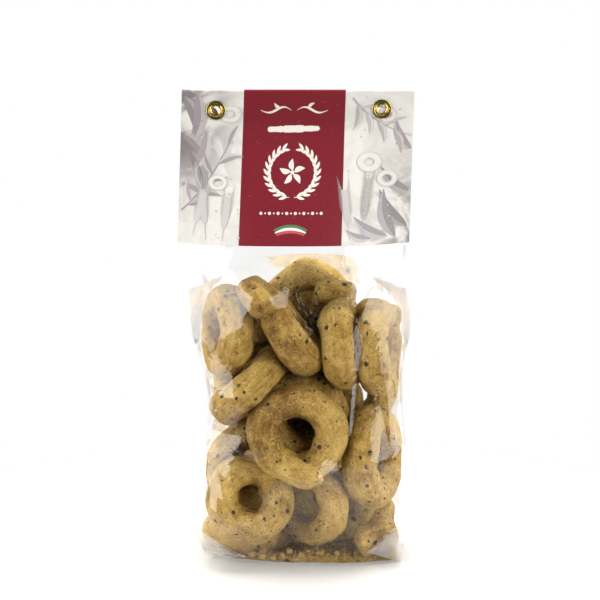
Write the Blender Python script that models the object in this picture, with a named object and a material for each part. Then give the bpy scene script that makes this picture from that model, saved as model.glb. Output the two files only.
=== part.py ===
"""A sealed clear bag of taralli with a folded header card and two eyelets.

The bag is one solid here: a gusseted bag standing on its flat bottom, its front and
back panels drawn over the taralli inside, its neck pressed flat inside the card.
Lengths are in millimetres and are turned into metres when a mesh is made.
"""
import bmesh
import bpy
import numpy as np

for item in list(bpy.data.objects):
    bpy.data.objects.remove(item, do_unlink=True)

MM = 0.001

# Bag outline: heights, with how far the left and the right side stand out at each
OUTLINE_Z = [0, 6, 14, 23, 37, 51.5, 61.6, 68, 81, 93, 103.6, 115, 125.5, 137.5, 156, 235]
LEFT_X = [43, 47.4, 50.2, 50.2, 48.2, 45.8, 45.4, 43, 43, 45.7, 47.4, 50.6, 51.4, 52, 54.2, 53.6]
RIGHT_X = [53, 55.2, 56.5, 56.7, 55, 55.3, 55.5, 55.1, 54.3, 53.3, 54.2, 56.3, 56.5, 54.3, 55.3, 56.4]

# Depth of the bag from its middle plane, down the centre of a panel and along its corner creases
DEPTH_Z = [0, 4, 10, 20, 40, 100, 112, 125, 140, 150, 160, 175, 190, 200, 210, 216, 219, 235]
CENTRE_DEPTH = [23, 29, 32.5, 34.5, 35, 35, 34.5, 32, 28, 24.3, 20.5, 15, 9.5, 6, 2.6, 1.0, 0.5, 0.5]
CREASE_DEPTH = [17.5, 20, 22.5, 24, 24.5, 24.5, 23, 18, 12.5, 7.5, 3.6, 2.6, 1.8, 1.4, 0.9, 0.6, 0.5, 0.5]
PANEL_ROUNDING = 2.6

# The lower left corner is tucked in further than the right one
TUCK_DEPTH = 9.0
TUCK_HEIGHT = 12.0

# Gussets: how far the inner fold of each side goes in, and how much a full side bows out
FOLD_Z = [112, 130, 152, 165, 185, 205]
FOLD_IN = [0, 9, 22, 24, 14, 0]
SIDE_BOW = 2.0

HALF_DEPTH = 35.0
FILM_GAP = 0.6
SUCTION = 0.03
NECK_TOP = 234.0
FREE_TOP = 150.0

# Header card
CARD_HALF_WIDTH = 57.1
CARD_BOTTOM = 160.0
CARD_TOP = 235.0
CARD_THICKNESS = 0.4
CARD_GAP = 0.3
CARD_TOP_SHIFT = 1.45
CARD_BOTTOM_SHIFT = -1.0

# Eyelets: centre across and up, then the radii of the turned section
EYELETS = {"eyelet_left": (-38.95, 224.9), "eyelet_right": (42.5, 225.5)}
EYELET_OUTER = 4.75
EYELET_BORE = 1.9
EYELET_HOLE = 2.5
BARREL_OUTER = 2.2

TUBE = 7.9
BEADS = 16

# One row for each ring inside: centre x, y, z, turn, lean and tilt in degrees, overall width
RINGS = {
    "middle": (1, -26, 67, 4, 0, -6, 51),
    "low_left": (-24.5, -22, 32, 14, 40, -24, 46),
    "top_bar": (-3.5, -10, 114, 92, -35, 0, 49),
    "crown": (5.5, 12, 119, 4, 0, -34, 51),
    "mid_post": (24.5, -9, 110, 80, -5, 0, 47),
    "right_post": (42, -5, 107, 76, 1, 0, 48),
    "right_behind": (31, 27, 88, 4, 5, 0, 47),
    "left_bar": (-24, -10, 87, 84, 44, 0, 49),
    "left_top": (-36, -5.5, 116, -72, 4, 0, 48),
    "right_low": (40.5, -5.5, 51, 67, -5, 0, 52),
    "low_middle": (7.5, -8, 26, -14, 0, 4, 47),
    "low_right": (24, 8, 24, 20, 30, 0, 48),
    "floor_left": (-20, 8, 9, 88, 88, 0, 48),
    "left_behind": (-34, 6, 50, 82, 0, 0, 48),
    "middle_behind": (3, -8.5, 65, 6, 0, -6, 47),
    "middle_back": (0, 10, 82, 6, 0, 0, 47),
    "left_back": (-26, 27, 94, 4, 0, 0, 48),
    "low_back_left": (-20, 27, 40, 0, 0, 0, 48),
    "low_back": (26, 27, 38, 4, 0, 0, 48),
}
RING_TOP = 147.0
HOLD = 0.12


def rotation(turn, lean, tilt):
    t, l, a = np.radians([turn, lean, tilt])
    about_z = np.array([[np.cos(t), -np.sin(t), 0], [np.sin(t), np.cos(t), 0], [0, 0, 1]])
    about_y = np.array([[np.cos(l), 0, np.sin(l)], [0, 1, 0], [-np.sin(l), 0, np.cos(l)]])
    about_x = np.array([[1, 0, 0], [0, np.cos(a), -np.sin(a)], [0, np.sin(a), np.cos(a)]])
    return about_x @ about_y @ about_z


def turned(matrix, spin):
    """A rotation matrix turned by a small rotation vector."""
    angle = np.linalg.norm(spin)
    if angle < 1e-9:
        return matrix
    x, y, z = spin / angle
    cross = np.array([[0, -z, y], [z, 0, -x], [-y, x, 0]])
    return (np.eye(3) + np.sin(angle) * cross + (1 - np.cos(angle)) * cross @ cross) @ matrix


def circle_points(centres, turns, radii, count):
    angle = np.linspace(0, 2 * np.pi, count, endpoint=False)
    flat = np.stack([np.cos(angle), 0 * angle, np.sin(angle)], 1)
    return centres[:, None] + np.einsum("nij,nkj->nki", turns, flat[None] * radii[:, None, None])


def settle(steps=400):
    """Push the rings apart, and in from the walls of the bag, from where the table puts them."""
    rows = np.array(list(RINGS.values()), float)
    centres = rows[:, :3].copy()
    start = centres.copy()
    turns = np.array([rotation(*row[3:6]) for row in rows])
    radii = rows[:, 6] / 2 - TUBE
    hold = np.where(rows[:, 1] < -5, HOLD, 1.0)
    owner = np.repeat(np.arange(len(rows)), BEADS)
    same = owner[:, None] == owner[None]
    for step in range(steps):
        p = circle_points(centres, turns, radii, BEADS).reshape(-1, 3)
        gap = p[:, None] - p[None]
        far = np.sqrt((gap ** 2).sum(-1)) + 1e-9
        over = np.clip(2 * TUBE - far, 0, None)
        over[same] = 0
        push = (gap / far[..., None] * over[..., None]).sum(1)
        push *= 0.5 / np.maximum((over > 0).sum(1), 1)[:, None]
        low = TUBE + 0.8 - np.interp(p[:, 2], OUTLINE_Z, LEFT_X)
        high = np.interp(p[:, 2], OUTLINE_Z, RIGHT_X) - TUBE - 0.8
        wall = HALF_DEPTH - TUBE - 0.5
        push[:, 0] += np.clip(low - p[:, 0], 0, None) - np.clip(p[:, 0] - high, 0, None)
        push[:, 1] += np.clip(-wall - p[:, 1], 0, None) - np.clip(p[:, 1] - wall, 0, None)
        push[:, 2] += np.clip(TUBE + 0.8 - p[:, 2], 0, None) - np.clip(p[:, 2] + TUBE - RING_TOP, 0, None)
        back = 0.02 * (1.2 - hold) * max(0.0, 1 - step / (steps * 0.8))
        centres += (start - centres) * back[:, None]
        for i in range(len(rows)):
            mine = slice(i * BEADS, (i + 1) * BEADS)
            force = push[mine]
            hit = (np.linalg.norm(force, axis=1) > 1e-6).sum()
            if hit == 0:
                continue
            torque = np.cross(p[mine] - centres[i], force).sum(0)
            centres[i] += hold[i] * force.sum(0) / max(hit, 3)
            turns[i] = turned(turns[i], hold[i] * 0.5 * torque / (hit * radii[i] ** 2))
    return centres, turns, radii


def card_shift(z):
    return np.interp(z, [CARD_BOTTOM, CARD_TOP], [CARD_BOTTOM_SHIFT, CARD_TOP_SHIFT])


def pressed_depth(x, z):
    """Depth of the bag where the card shapes it, from the middle plane."""
    across = np.clip(np.abs(x - card_shift(z)) / CARD_HALF_WIDTH, 0, 1)
    centre = np.interp(z, DEPTH_Z, CENTRE_DEPTH)
    crease = np.interp(z, DEPTH_Z, CREASE_DEPTH)
    return crease + (centre - crease) * (1 - across ** PANEL_ROUNDING)


def panel_depth(side, x, z, u, rings):
    """Film drawn over the rings on one side of the bag, as a depth for every grid point."""
    centre = np.interp(z, DEPTH_Z, CENTRE_DEPTH)
    crease = np.interp(z, DEPTH_Z, CREASE_DEPTH)
    base = crease + (centre - crease) * (1 - np.abs(u) ** PANEL_ROUNDING)
    base = base - TUCK_DEPTH * np.clip(-u, 0, 1) ** 1.5 * np.clip(1 - z / TUCK_HEIGHT, 0, 1)
    blend = np.clip((z - 128) / (FREE_TOP - 128), 0, 1)
    base = base + (pressed_depth(x, z) - base) * blend
    points = circle_points(*rings, 48).reshape(-1, 3)
    flat = (x[..., None] - points[:, 0]) ** 2 + (z[..., None] - points[:, 2]) ** 2
    front = side * points[:, 1] + np.sqrt(np.clip(TUBE ** 2 - flat, 0, None))
    obstacle = np.where(flat < TUBE ** 2, front + FILM_GAP, -100.0).max(-1)
    free = (z > 1) & (z < FREE_TOP) & (np.abs(u) < 0.999)
    depth = base.copy()
    for step in range(260):
        around = depth.copy()
        around[1:-1, 1:-1] = (depth[:-2, 1:-1] + depth[2:, 1:-1] + depth[1:-1, :-2] + depth[1:-1, 2:]) / 4
        depth = np.where(free, np.maximum(around - SUCTION, obstacle), base)
    return depth


def solid(name, points, faces, material):
    mesh = bpy.data.meshes.new(name)
    mesh.from_pydata([tuple(v * MM for v in p) for p in points], [], faces)
    mesh.validate()
    item = bpy.data.objects.new(name, mesh)
    bpy.context.scene.collection.objects.link(item)
    mesh.materials.append(material)
    return item


def material(name, colour, metallic=0.0, roughness=0.5):
    made = bpy.data.materials.new(name)
    made.use_nodes = True
    shader = made.node_tree.nodes["Principled BSDF"]
    shader.inputs["Base Color"].default_value = (*colour, 1)
    shader.inputs["Metallic"].default_value = metallic
    shader.inputs["Roughness"].default_value = roughness
    return made


def build_bag():
    """A closed stack of outlines: front panel, right side, back panel, left side."""
    low = np.concatenate([[0, 2.5, 6], np.arange(10.5, 150, 4.65), [150.0]])
    high = np.array([155, 160, 166, 173, 181, 190, 199, 206, 211, 216, 219, NECK_TOP])
    levels = np.concatenate([low, high])
    u = np.sin(np.linspace(-1, 1, 27) * 1.25) / np.sin(1.25)
    side = np.linspace(-1, 1, 7)
    rings = settle()
    fold = np.interp(levels, FOLD_Z, FOLD_IN)
    bow = SIDE_BOW * np.interp(levels, [0, 8, 100, 122], [0, 1, 1, 0])
    left = -np.interp(levels, OUTLINE_Z, LEFT_X) + bow
    right = np.interp(levels, OUTLINE_Z, RIGHT_X) - bow
    uu = np.repeat(u[None], len(levels), 0)
    zz = np.repeat(levels[:, None], len(u), 1)
    xx = left[:, None] + (right - left)[:, None] * (uu + 1) / 2
    front = panel_depth(-1, xx, zz, uu, rings)
    back = panel_depth(1, xx, zz, uu, rings)
    points, count = [], 2 * (len(u) - 1) + 2 * (len(side) - 1)
    for k, z in enumerate(levels):
        row = [(xx[k, i], -front[k, i], z) for i in range(len(u) - 1)]
        for edge, sign, start, end in (
            (right[k], 1, -front[k, -1], back[k, -1]),
            (left[k], -1, back[k, 0], -front[k, 0]),
        ):
            if sign < 0:
                row += [(xx[k, i], back[k, i], z) for i in range(len(u) - 1, 0, -1)]
            for t in side[:-1]:
                out = bow[k] * (1 - t * t) - fold[k] * (1 - abs(t))
                y = start + (end - start) * (t + 1) / 2
                row.append((edge + sign * out, y, z))
        points += row
    faces = []
    for k in range(len(levels) - 1):
        for i in range(count):
            j = (i + 1) % count
            a, b = k * count, (k + 1) * count
            faces.append((a + i, a + j, b + j, b + i))
    n, m = len(u) - 1, len(side) - 1
    for base, flip in ((0, True), ((len(levels) - 1) * count, False)):
        cap = [(i, i + 1, 2 * n + m - i - 1, 2 * n + m - i) for i in range(1, n - 1)]
        cap.append(tuple(range(n - 1, n + m + 2)))
        cap.append(tuple(range(2 * n + m - 1, 2 * n + 2 * m)) + (0, 1))
        for face in cap:
            face = tuple(base + v for v in face)
            faces.append(face[::-1] if flip else face)
    return points, faces


def finish(item, sharp=35):
    """Apply the modifiers, turn the faces outward and shade the round parts smooth."""
    bpy.context.view_layer.objects.active = item
    for modifier in list(item.modifiers):
        bpy.ops.object.modifier_apply(modifier=modifier.name)
    body = bmesh.new()
    body.from_mesh(item.data)
    bmesh.ops.recalc_face_normals(body, faces=body.faces)
    body.to_mesh(item.data)
    body.free()
    item.data.shade_smooth()
    item.data.set_sharp_from_angle(angle=np.radians(sharp))


def build_card():
    """The inner face of a sheet folded over the flat neck, pushed out by the bag lower down."""
    rows = [CARD_BOTTOM, 166, 173, 181, 190, 199, 206, 211, 216, 219, 226, 233.9]
    across = np.linspace(-1, 1, 19)
    flat = np.ones(len(across))
    sheet = []
    for z in rows:
        x = across * CARD_HALF_WIDTH + card_shift(z)
        sheet.append((x, -pressed_depth(x, flat * z) - CARD_GAP, flat * z))
    crown = CARD_TOP - CARD_THICKNESS
    top = across * CARD_HALF_WIDTH + CARD_TOP_SHIFT
    fold = [(top, flat * y, flat * z) for y, z in ((-0.55, crown - 0.1), (0, crown), (0.55, crown - 0.1))]
    sheet = sheet + fold + [(x, -y, z) for x, y, z in sheet[::-1]]
    points = [point for x, y, z in sheet for point in zip(x, y, z)]
    n = len(across)
    faces = []
    for k in range(len(sheet) - 1):
        for i in range(n - 1):
            a, b = k * n + i, (k + 1) * n + i
            faces.append((a, a + 1, b + 1, b))
    return points, faces


def thicken(item, thickness):
    sheet = item.modifiers.new("thickness", "SOLIDIFY")
    sheet.thickness = thickness * MM
    sheet.offset = 1
    sheet.use_even_offset = True


def build_eyelet(name, x0, z0, finish_material, steps=28):
    """A turned grommet: a flat washer, a groove and a rolled rim on each face, joined by a barrel."""
    face = 0.5 + CARD_GAP + CARD_THICKNESS + 0.3
    half = [
        (BARREL_OUTER, face),
        (EYELET_OUTER - 0.15, face),
        (EYELET_OUTER, face + 0.2),
        (EYELET_OUTER - 0.25, face + 0.5),
        (3.5, face + 0.55),
        (3.3, face + 0.3),
        (3.05, face + 0.65),
        (2.6, face + 0.95),
        (2.15, face + 0.8),
        (EYELET_BORE, face + 0.3),
    ]
    section = [(r, -d) for r, d in half] + [(r, d) for r, d in half[::-1]]
    turned_body = bmesh.new()
    corners = [turned_body.verts.new((r * MM, d * MM, 0)) for r, d in section]
    edges = [turned_body.edges.new((a, b)) for a, b in zip(corners, corners[1:] + corners[:1])]
    bmesh.ops.spin(
        turned_body, geom=corners + edges, cent=(0, 0, 0), axis=(0, 1, 0),
        angle=2 * np.pi, steps=steps, use_merge=True)
    mesh = bpy.data.meshes.new(name)
    turned_body.to_mesh(mesh)
    turned_body.free()
    mesh.materials.append(finish_material)
    item = bpy.data.objects.new(name, mesh)
    item.location = (x0 * MM, 0, z0 * MM)
    bpy.context.scene.collection.objects.link(item)
    return item


def bore(item):
    """Cut the eyelet holes through a part."""
    for x0, z0 in EYELETS.values():
        bpy.ops.mesh.primitive_cylinder_add(
            vertices=28, radius=EYELET_HOLE * MM, depth=20 * MM,
            location=(x0 * MM, 0, z0 * MM), rotation=(np.pi / 2, 0, 0))
        drill = bpy.context.object
        cut = item.modifiers.new("bore", "BOOLEAN")
        cut.operation = "DIFFERENCE"
        cut.solver = "EXACT"
        cut.object = drill
        finish(item)
        bpy.data.objects.remove(drill, do_unlink=True)


film = material("film", (0.86, 0.86, 0.84), roughness=0.12)
print_card = material("printed_card", (0.28, 0.012, 0.03), roughness=0.45)
brass = material("brass", (0.62, 0.48, 0.16), metallic=1.0, roughness=0.3)

bag = solid("bag", *build_bag(), film)
finish(bag)
bore(bag)
card = solid("header_card", *build_card(), print_card)
thicken(card, CARD_THICKNESS)
finish(card)
bore(card)
for eyelet_name, (eyelet_x, eyelet_z) in EYELETS.items():
    finish(build_eyelet(eyelet_name, eyelet_x, eyelet_z, brass))
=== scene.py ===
"""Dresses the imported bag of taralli: every tarallo, the clear film, the printed card and the eyelets.

Lengths are in millimetres and become metres where a mesh, a lamp or the camera is made.
"""

import bmesh
import bpy
import numpy as np
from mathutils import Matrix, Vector, noise


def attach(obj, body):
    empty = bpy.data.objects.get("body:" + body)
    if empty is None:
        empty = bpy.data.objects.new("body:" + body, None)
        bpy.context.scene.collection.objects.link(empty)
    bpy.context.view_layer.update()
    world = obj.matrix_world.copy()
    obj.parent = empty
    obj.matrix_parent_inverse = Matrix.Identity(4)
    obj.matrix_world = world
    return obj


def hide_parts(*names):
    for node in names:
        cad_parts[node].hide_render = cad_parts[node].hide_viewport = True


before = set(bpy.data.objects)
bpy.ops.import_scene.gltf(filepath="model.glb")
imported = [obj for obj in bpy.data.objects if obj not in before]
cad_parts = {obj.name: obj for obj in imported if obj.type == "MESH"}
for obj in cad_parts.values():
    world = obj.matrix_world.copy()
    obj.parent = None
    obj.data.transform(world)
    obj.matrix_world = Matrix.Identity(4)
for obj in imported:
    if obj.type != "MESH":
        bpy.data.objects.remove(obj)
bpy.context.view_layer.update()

MM = 0.001

# Bag outline: heights, with how far the left and the right side stand out at each
OUTLINE_Z = [0, 6, 14, 23, 37, 51.5, 61.6, 68, 81, 93, 103.6, 115, 125.5, 137.5, 156, 235]
LEFT_X = [43, 47.4, 50.2, 50.2, 48.2, 45.8, 45.4, 43, 43, 45.7, 47.4, 50.6, 51.4, 52, 54.2, 53.6]
RIGHT_X = [53, 55.2, 56.5, 56.7, 55, 55.3, 55.5, 55.1, 54.3, 53.3, 54.2, 56.3, 56.5, 54.3, 55.3, 56.4]

# Depth of the bag from its middle plane, down the centre of a panel and along its corner creases, how
# boxy a panel is across, and how far in and how high the left end of the bottom is tucked
DEPTH_Z = [0, 4, 10, 20, 40, 100, 112, 125, 140, 150, 160, 175, 190, 200, 210, 216, 219, 235]
CENTRE_DEPTH = [23, 29, 32.5, 34.5, 35, 35, 34.5, 32, 28, 24.3, 20.5, 15, 9.5, 6, 2.6, 1.0, 0.5, 0.5]
CREASE_DEPTH = [17.5, 20, 22.5, 24, 24.5, 24.5, 23, 18, 12.5, 7.5, 3.6, 2.6, 1.8, 1.4, 0.9, 0.6, 0.5, 0.5]
PANEL_ROUNDING = 2.6
TUCK_DEPTH = 9.0
TUCK_HEIGHT = 12.0

# Gussets: how far the inner fold of each side goes in, how much a full side bows out, and the share
# of that bow up the bag
FOLD_Z = [112, 130, 152, 165, 205]
FOLD_IN = [0, 9, 22, 26, 30]
SIDE_BOW = 2.0
BOW_Z = [0, 8, 100, 122]
BOW_SHARE = [0, 1, 1, 0]

# Half the depth of the room for the rings
HALF_DEPTH = 35.0

# The film over the rings: the gap it keeps, the pull inward and its steps for the panels and for the
# sides, how far it spans dips, how often it is smoothed on the rings and then eased, the height of
# its small waves, and the angle in degrees past which an edge is drawn sharp
FILM_GAP = 1.0
SUCTION = 0.005
DRAPE_STEPS = 700
SIDE_SUCTION = 0.004
SIDE_DRAPE_STEPS = 60
FILM_STIFFNESS = 3
FILM_SMOOTHING = 140
FILM_EASING = 18
WAVE_HEIGHT = 0.5
FILM_SHARP_ANGLE = 75

# Heights on the film: it moves between the first two, touches rings up to the contact height, and
# takes the card's pressed shape more and more from the press height up
HELD_BELOW = 1.0
FREE_TOP = 150.0
CONTACT_TOP = 149.0
SIDE_FREE_TOP = 140.0
SIDE_CONTACT_TOP = 139.0
PRESS_START = 128.0
FILM_TOP = 217.0

# The film's mesh: its levels, its columns, the part of a panel that is off its edges, the distance
# under which points are joined, and the height that stands for no ring behind the film
BOTTOM_LEVELS = 12
BOTTOM_TOP = 10.0
LEVEL_STEP = 1.25
PRESSED_LEVELS = 40
PANEL_COLUMNS = 97
SIDE_COLUMNS = 57
PANEL_INSIDE = 0.999
WELD = 0.02
NO_RING = -100.0

# Folded corners of the block bottom: top, tip and foot of each, across and up, and the points along
# a side of each
FOLDED_CORNERS = (((-49, 20), (-24, 4.5), (-43.5, 0.6)), ((55.5, 26), (35.5, 7.5), (52.5, 0.6)))
EAR_POINTS = 13

# Header card, with the rows of its sheet over the bag's shoulder and over the flat neck, and the
# round of the fold at its top: depth, and height against the crown
CARD_HALF_WIDTH = 57.1
CARD_BOTTOM = 160.0
CARD_TOP = 235.0
CARD_THICKNESS = 0.4
CARD_GAP = 0.3
CARD_TOP_SHIFT = 1.45
CARD_BOTTOM_SHIFT = -1.0
BAND_EDGES = (-26.6, 23.4)
SHOULDER_TOP = 219.0
SHOULDER_ROWS = 44
NECK_BOTTOM = 220.5
NECK_TOP = 233.9
NECK_ROWS = 10
CARD_COLUMNS = 81
CARD_FOLD = ((-0.74, -0.35), (-0.5, -0.1), (0, 0), (0.5, -0.1), (0.74, -0.35))
CARD_SHARP_ANGLE = 40

# Eyelets: centre across and up, radii of the turned section and of the hole in the card, how far an
# eyelet stands off the card, and the steps that it is turned in
EYELETS = {"eyelet_left": (-38.95, 224.9), "eyelet_right": (42.5, 225.5)}
EYELET_BORE = 1.9
EYELET_HOLE = 2.5
BARREL_OUTER = 2.2
EYELET_LIFT = 0.3
EYELET_STEPS = 72
EYELET_SHARP_ANGLE = 55

# The rounded edge of an eyelet's washer, its rolled rim, and the radius and height of the points of
# the groove between them; heights are over the eyelet's face
WASHER_MIDDLE = 4.45
WASHER_WIDTH = 0.3
WASHER_HEIGHT = 0.28
CURL_MIDDLE = 2.58
CURL_HEIGHT = 0.36
CURL_RADIUS = 0.62
GROOVE = ((3.7, 0.5), (3.36, 0.34), (3.27, 0.1))

# Ropes of dough: plain radius, grid size of the fused mesh, length of the rounding at an end, how
# thin an end is against the rope, and how far the rope wanders
TUBE = 7.9
VOXEL = 0.75
END_ROUNDING = 3.2
END_THICKNESS = 0.74
UNEVEN = 1.1

# Brownness of the crust: plain, and then painted shade: inside a ring's hole, per millimetre of dent
# (with painted light per millimetre of lump), and on a broken end
PLAIN_TOAST = 0.05
HOLE_SHADE = 0.12
RELIEF_SHADE = 0.28
BROKEN_SHADE = 0.05
BROKEN_SEED = 60

# Settling the rings: beads around each, the height they stay under, the gaps to the side walls and
# floor and to the front and back, and the pull to where the table puts them, which is full for a
# ring that never gives way and ends before the last step
BEADS = 16
RING_TOP = 147.0
WALL_CLEARANCE = 0.8
FACE_CLEARANCE = 0.5
PULL_BACK = 0.02
FULL_PULL = 1.2
PULL_ENDS = 0.8

# One row for each ring: centre x, y, z, turn, lean and tilt in degrees, overall width
RINGS = {
    "middle": (1, -26, 67.5, 4, 0, -6, 50.5),
    "low_left": (-22, -21, 34.5, 14, 40, -32, 45),
    "top_bar": (-4.5, -8, 114, 91, -37, 0, 50),
    "crown": (5.5, 23, 121, 4, 0, -4, 51.5),
    "mid_post": (24.5, -8, 109, 80, -5, 0, 46.5),
    "right_post": (40.5, -3, 107, 76, 1, 0, 50),
    "right_behind": (30, 27, 84, 4, 5, 0, 47),
    "left_bar": (-23.5, -8, 86.5, 84, 47, 0, 49),
    "left_top": (-35.5, -4, 115, -70, 4, 0, 49),
    "right_low": (40, -3.5, 50.5, 67, -5, 0, 53),
    "low_middle": (5.5, -9, 27, -38, 0, 0, 45),
    "low_right": (24, 8, 24, 20, 30, 0, 48),
    "floor_left": (-20, 8, 9, 88, 88, 0, 48),
    "left_behind": (-34, 6, 50, 82, 0, 0, 48),
    "middle_behind": (3, -8.5, 65, 6, 0, -6, 47),
    "middle_back": (2, 10, 80, 6, 0, 0, 47),
    "left_back": (-28, 25, 101, 4, 0, 0, 48),
    "low_back_left": (-20, 27, 52, 0, 0, 0, 48),
    "low_back": (26, 27, 36, 4, 0, 0, 48),
}

# The rings that show best give way to this share of a push, and the others to all of it
HOLD = 0.12
HELD = {
    "middle", "low_left", "top_bar", "crown", "mid_post", "right_post", "left_bar", "left_top",
    "right_low", "low_middle"}

# Broken ends that lie between and behind the rings: both ends of each, and its radius
BROKEN = {
    "crown": ((6.5, 16, 121.5), (6.5, 25, 122.5), 9.6),
    "crown_end": ((9.5, 7, 133.5), (30, 8, 130), 7.0),
    "upper_left": ((-19, 22, 104), (-27, 26, 129), 8.4),
    "right_back": ((43, 6, 9), (44.5, 22, 20), 7.5),
    "left": ((-19.4, 11, 83.3), (-19, 24, 83), 7.6),
    "middle": ((9.7, 4, 74.2), (9, 21, 74), 7.6),
    "low_left": ((-21, 20, 41), (-21, 33.5, 40.5), 7.2),
    "low_right": ((26, 19.5, 33.5), (26, 27, 33.5), 7.0),
    "back": ((-3, 27, 8), (16, 27, 12.5), 6.8),
    "right": ((31, -17, 8.8), (50.5, -12, 15.5), 7.4),
    "slip": ((24.5, -13, 48), (29, -17, 33), 4.3),
}

# How the ends of each rope meet: angle of the joint in the ring, overlap, how far the outer end
# stands out, how far the ends lie side by side, radius of the rope
PLAIN_JOINT = (20, 15, 3.0, 2.5, TUBE)
JOINTS = {
    "middle": (-78, 12, 3.0, -11.0, 8.6),
    "low_left": (-50, 18, 2.4, 8.0, 8.3),
    "top_bar": (100, 24, 12.0, 2.5, 9.0),
    "crown": (-90, 15, 2.0, 3.0, 9.0),
    "mid_post": (15, 16, 2.5, 4.0, 8.3),
    "right_post": (92, 11, 1.5, 11.0, 8.2),
    "left_bar": (10, 16, 3.0, 3.0, 8.4),
    "left_top": (205, 17, 3.0, 4.0, 8.4),
    "right_low": (165, 17, 2.5, -6.0, 8.4),
    "low_middle": (165, -24, 0.0, 0.0, 8.0),
    "low_right": (150, 16, 3.0, 4.0, 7.9),
}

# Rings with a side darkened as painted shade: its angle in the ring, and how much darker
SHADED_SIDES = {
    "middle": (145, 0.24), "crown": (-90, 0.16), "top_bar": (200, 0.12), "low_middle": (180, 0.2),
    "middle_behind": (0, 0.12), "middle_back": (0, 0.14), "left_back": (0, 0.12)}


def smooth(value, low, high):
    """A smooth step from 0 at low to 1 at high."""
    t = np.clip((value - low) / (high - low), 0, 1)
    return t * t * (3 - 2 * t)


def mesh_piece(name, points, faces, *finishes):
    mesh = bpy.data.meshes.new(name)
    mesh.from_pydata((np.asarray(points) * MM).tolist(), [], faces)
    for finish in finishes:
        mesh.materials.append(finish)
    mesh.shade_smooth()
    piece = bpy.data.objects.new(name, mesh)
    bpy.context.scene.collection.objects.link(piece)
    return piece


def grid_faces(rows, columns, first=0, flip=False):
    faces = []
    for k in range(rows - 1):
        for i in range(columns - 1):
            a, b = first + k * columns + i, first + (k + 1) * columns + i
            face = (a, a + 1, b + 1, b)
            faces.append(face[::-1] if flip else face)
    return faces


def tube_faces(sections, around, flip=False):
    """The faces of a closed tube: the bands between its rings of points, and a cap at each end."""
    faces = []
    for k in range(sections - 1):
        for i in range(around):
            j = (i + 1) % around
            a, b = k * around, (k + 1) * around
            faces.append((a + i, a + j, b + j, b + i) if flip else (a + i, b + i, b + j, a + j))
    caps = [tuple(range(around)), tuple(range((sections - 1) * around, sections * around))[::-1]]
    return faces + [cap[::-1] if flip else cap for cap in caps]


def apply_modifiers(piece):
    bpy.context.view_layer.objects.active = piece
    for modifier in list(piece.modifiers):
        bpy.ops.object.modifier_apply(modifier=modifier.name)


# Node helpers
def add_node(tree, kind, settings=(), **inputs):
    """A node with its properties and its sockets set; an input may be a value or another socket."""
    made = tree.nodes.new(kind)
    for key, value in dict(settings).items():
        setattr(made, key, value)
    for key, value in inputs.items():
        socket = made.inputs[int(key[1:])] if key[0] == "_" else made.inputs[key.replace("_", " ")]
        if isinstance(value, bpy.types.NodeSocket):
            tree.links.new(value, socket)
        else:
            socket.default_value = value
    return made


def math(tree, operation, first, second=0.0, clamp=False):
    settings = {"operation": operation, "use_clamp": clamp}
    return add_node(tree, "ShaderNodeMath", settings, _0=first, _1=second).outputs[0]


def ramp_value(tree, value, low, high):
    """A smooth step as a node."""
    made = add_node(
        tree, "ShaderNodeMapRange", {"interpolation_type": "SMOOTHSTEP"},
        Value=value, From_Min=low, From_Max=high)
    return made.outputs["Result"]


def mix_colour(tree, share, first, second):
    made = add_node(tree, "ShaderNodeMix", {"data_type": "RGBA"})
    for index, value in ((0, share), (6, first), (7, second)):
        socket = made.inputs[index]
        if isinstance(value, bpy.types.NodeSocket):
            tree.links.new(value, socket)
        else:
            socket.default_value = value
    return made.outputs[2]


def noise_value(tree, vector, scale, detail=2.0, roughness=0.5, distortion=0.0):
    made = add_node(
        tree, "ShaderNodeTexNoise", Vector=vector, Scale=scale, Detail=detail,
        Roughness=roughness, Distortion=distortion)
    return made.outputs["Fac"]


def colour(red, green, blue):
    return (red, green, blue, 1.0)


def new_group(name, inputs, outputs):
    """A shader node group with named sockets: inputs and outputs are (name, type, default)."""
    tree = bpy.data.node_groups.new(name, "ShaderNodeTree")
    for direction, sockets in (("INPUT", inputs), ("OUTPUT", outputs)):
        for socket_name, kind, default in sockets:
            made = tree.interface.new_socket(socket_name, in_out=direction, socket_type=kind)
            if default is not None:
                made.default_value = default
    return tree, tree.nodes.new("NodeGroupInput"), tree.nodes.new("NodeGroupOutput")


def use_group(tree, group, **inputs):
    made = tree.nodes.new("ShaderNodeGroup")
    made.node_tree = group
    for key, value in inputs.items():
        socket = made.inputs[key.replace("_", " ")]
        if isinstance(value, bpy.types.NodeSocket):
            tree.links.new(value, socket)
        else:
            socket.default_value = value
    return made


def new_material(name, **sockets):
    made = bpy.data.materials.new(name)
    made.use_nodes = True
    tree = made.node_tree
    shader = tree.nodes["Principled BSDF"]
    for key, value in sockets.items():
        shader.inputs[key.replace("_", " ")].default_value = value
    return made, tree, shader


def millimetres(tree):
    """The place on the object, in millimetres."""
    place = tree.nodes.new("ShaderNodeTexCoord").outputs["Object"]
    scaled = add_node(tree, "ShaderNodeVectorMath", {"operation": "SCALE"}, Vector=place)
    scaled.inputs["Scale"].default_value = 1 / MM
    return scaled.outputs[0]


def bump(tree, height, distance, shader, strength=1.0):
    made = add_node(tree, "ShaderNodeBump", Height=height, Distance=distance * MM, Strength=strength)
    tree.links.new(made.outputs[0], shader.inputs["Normal"])
    return made


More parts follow.
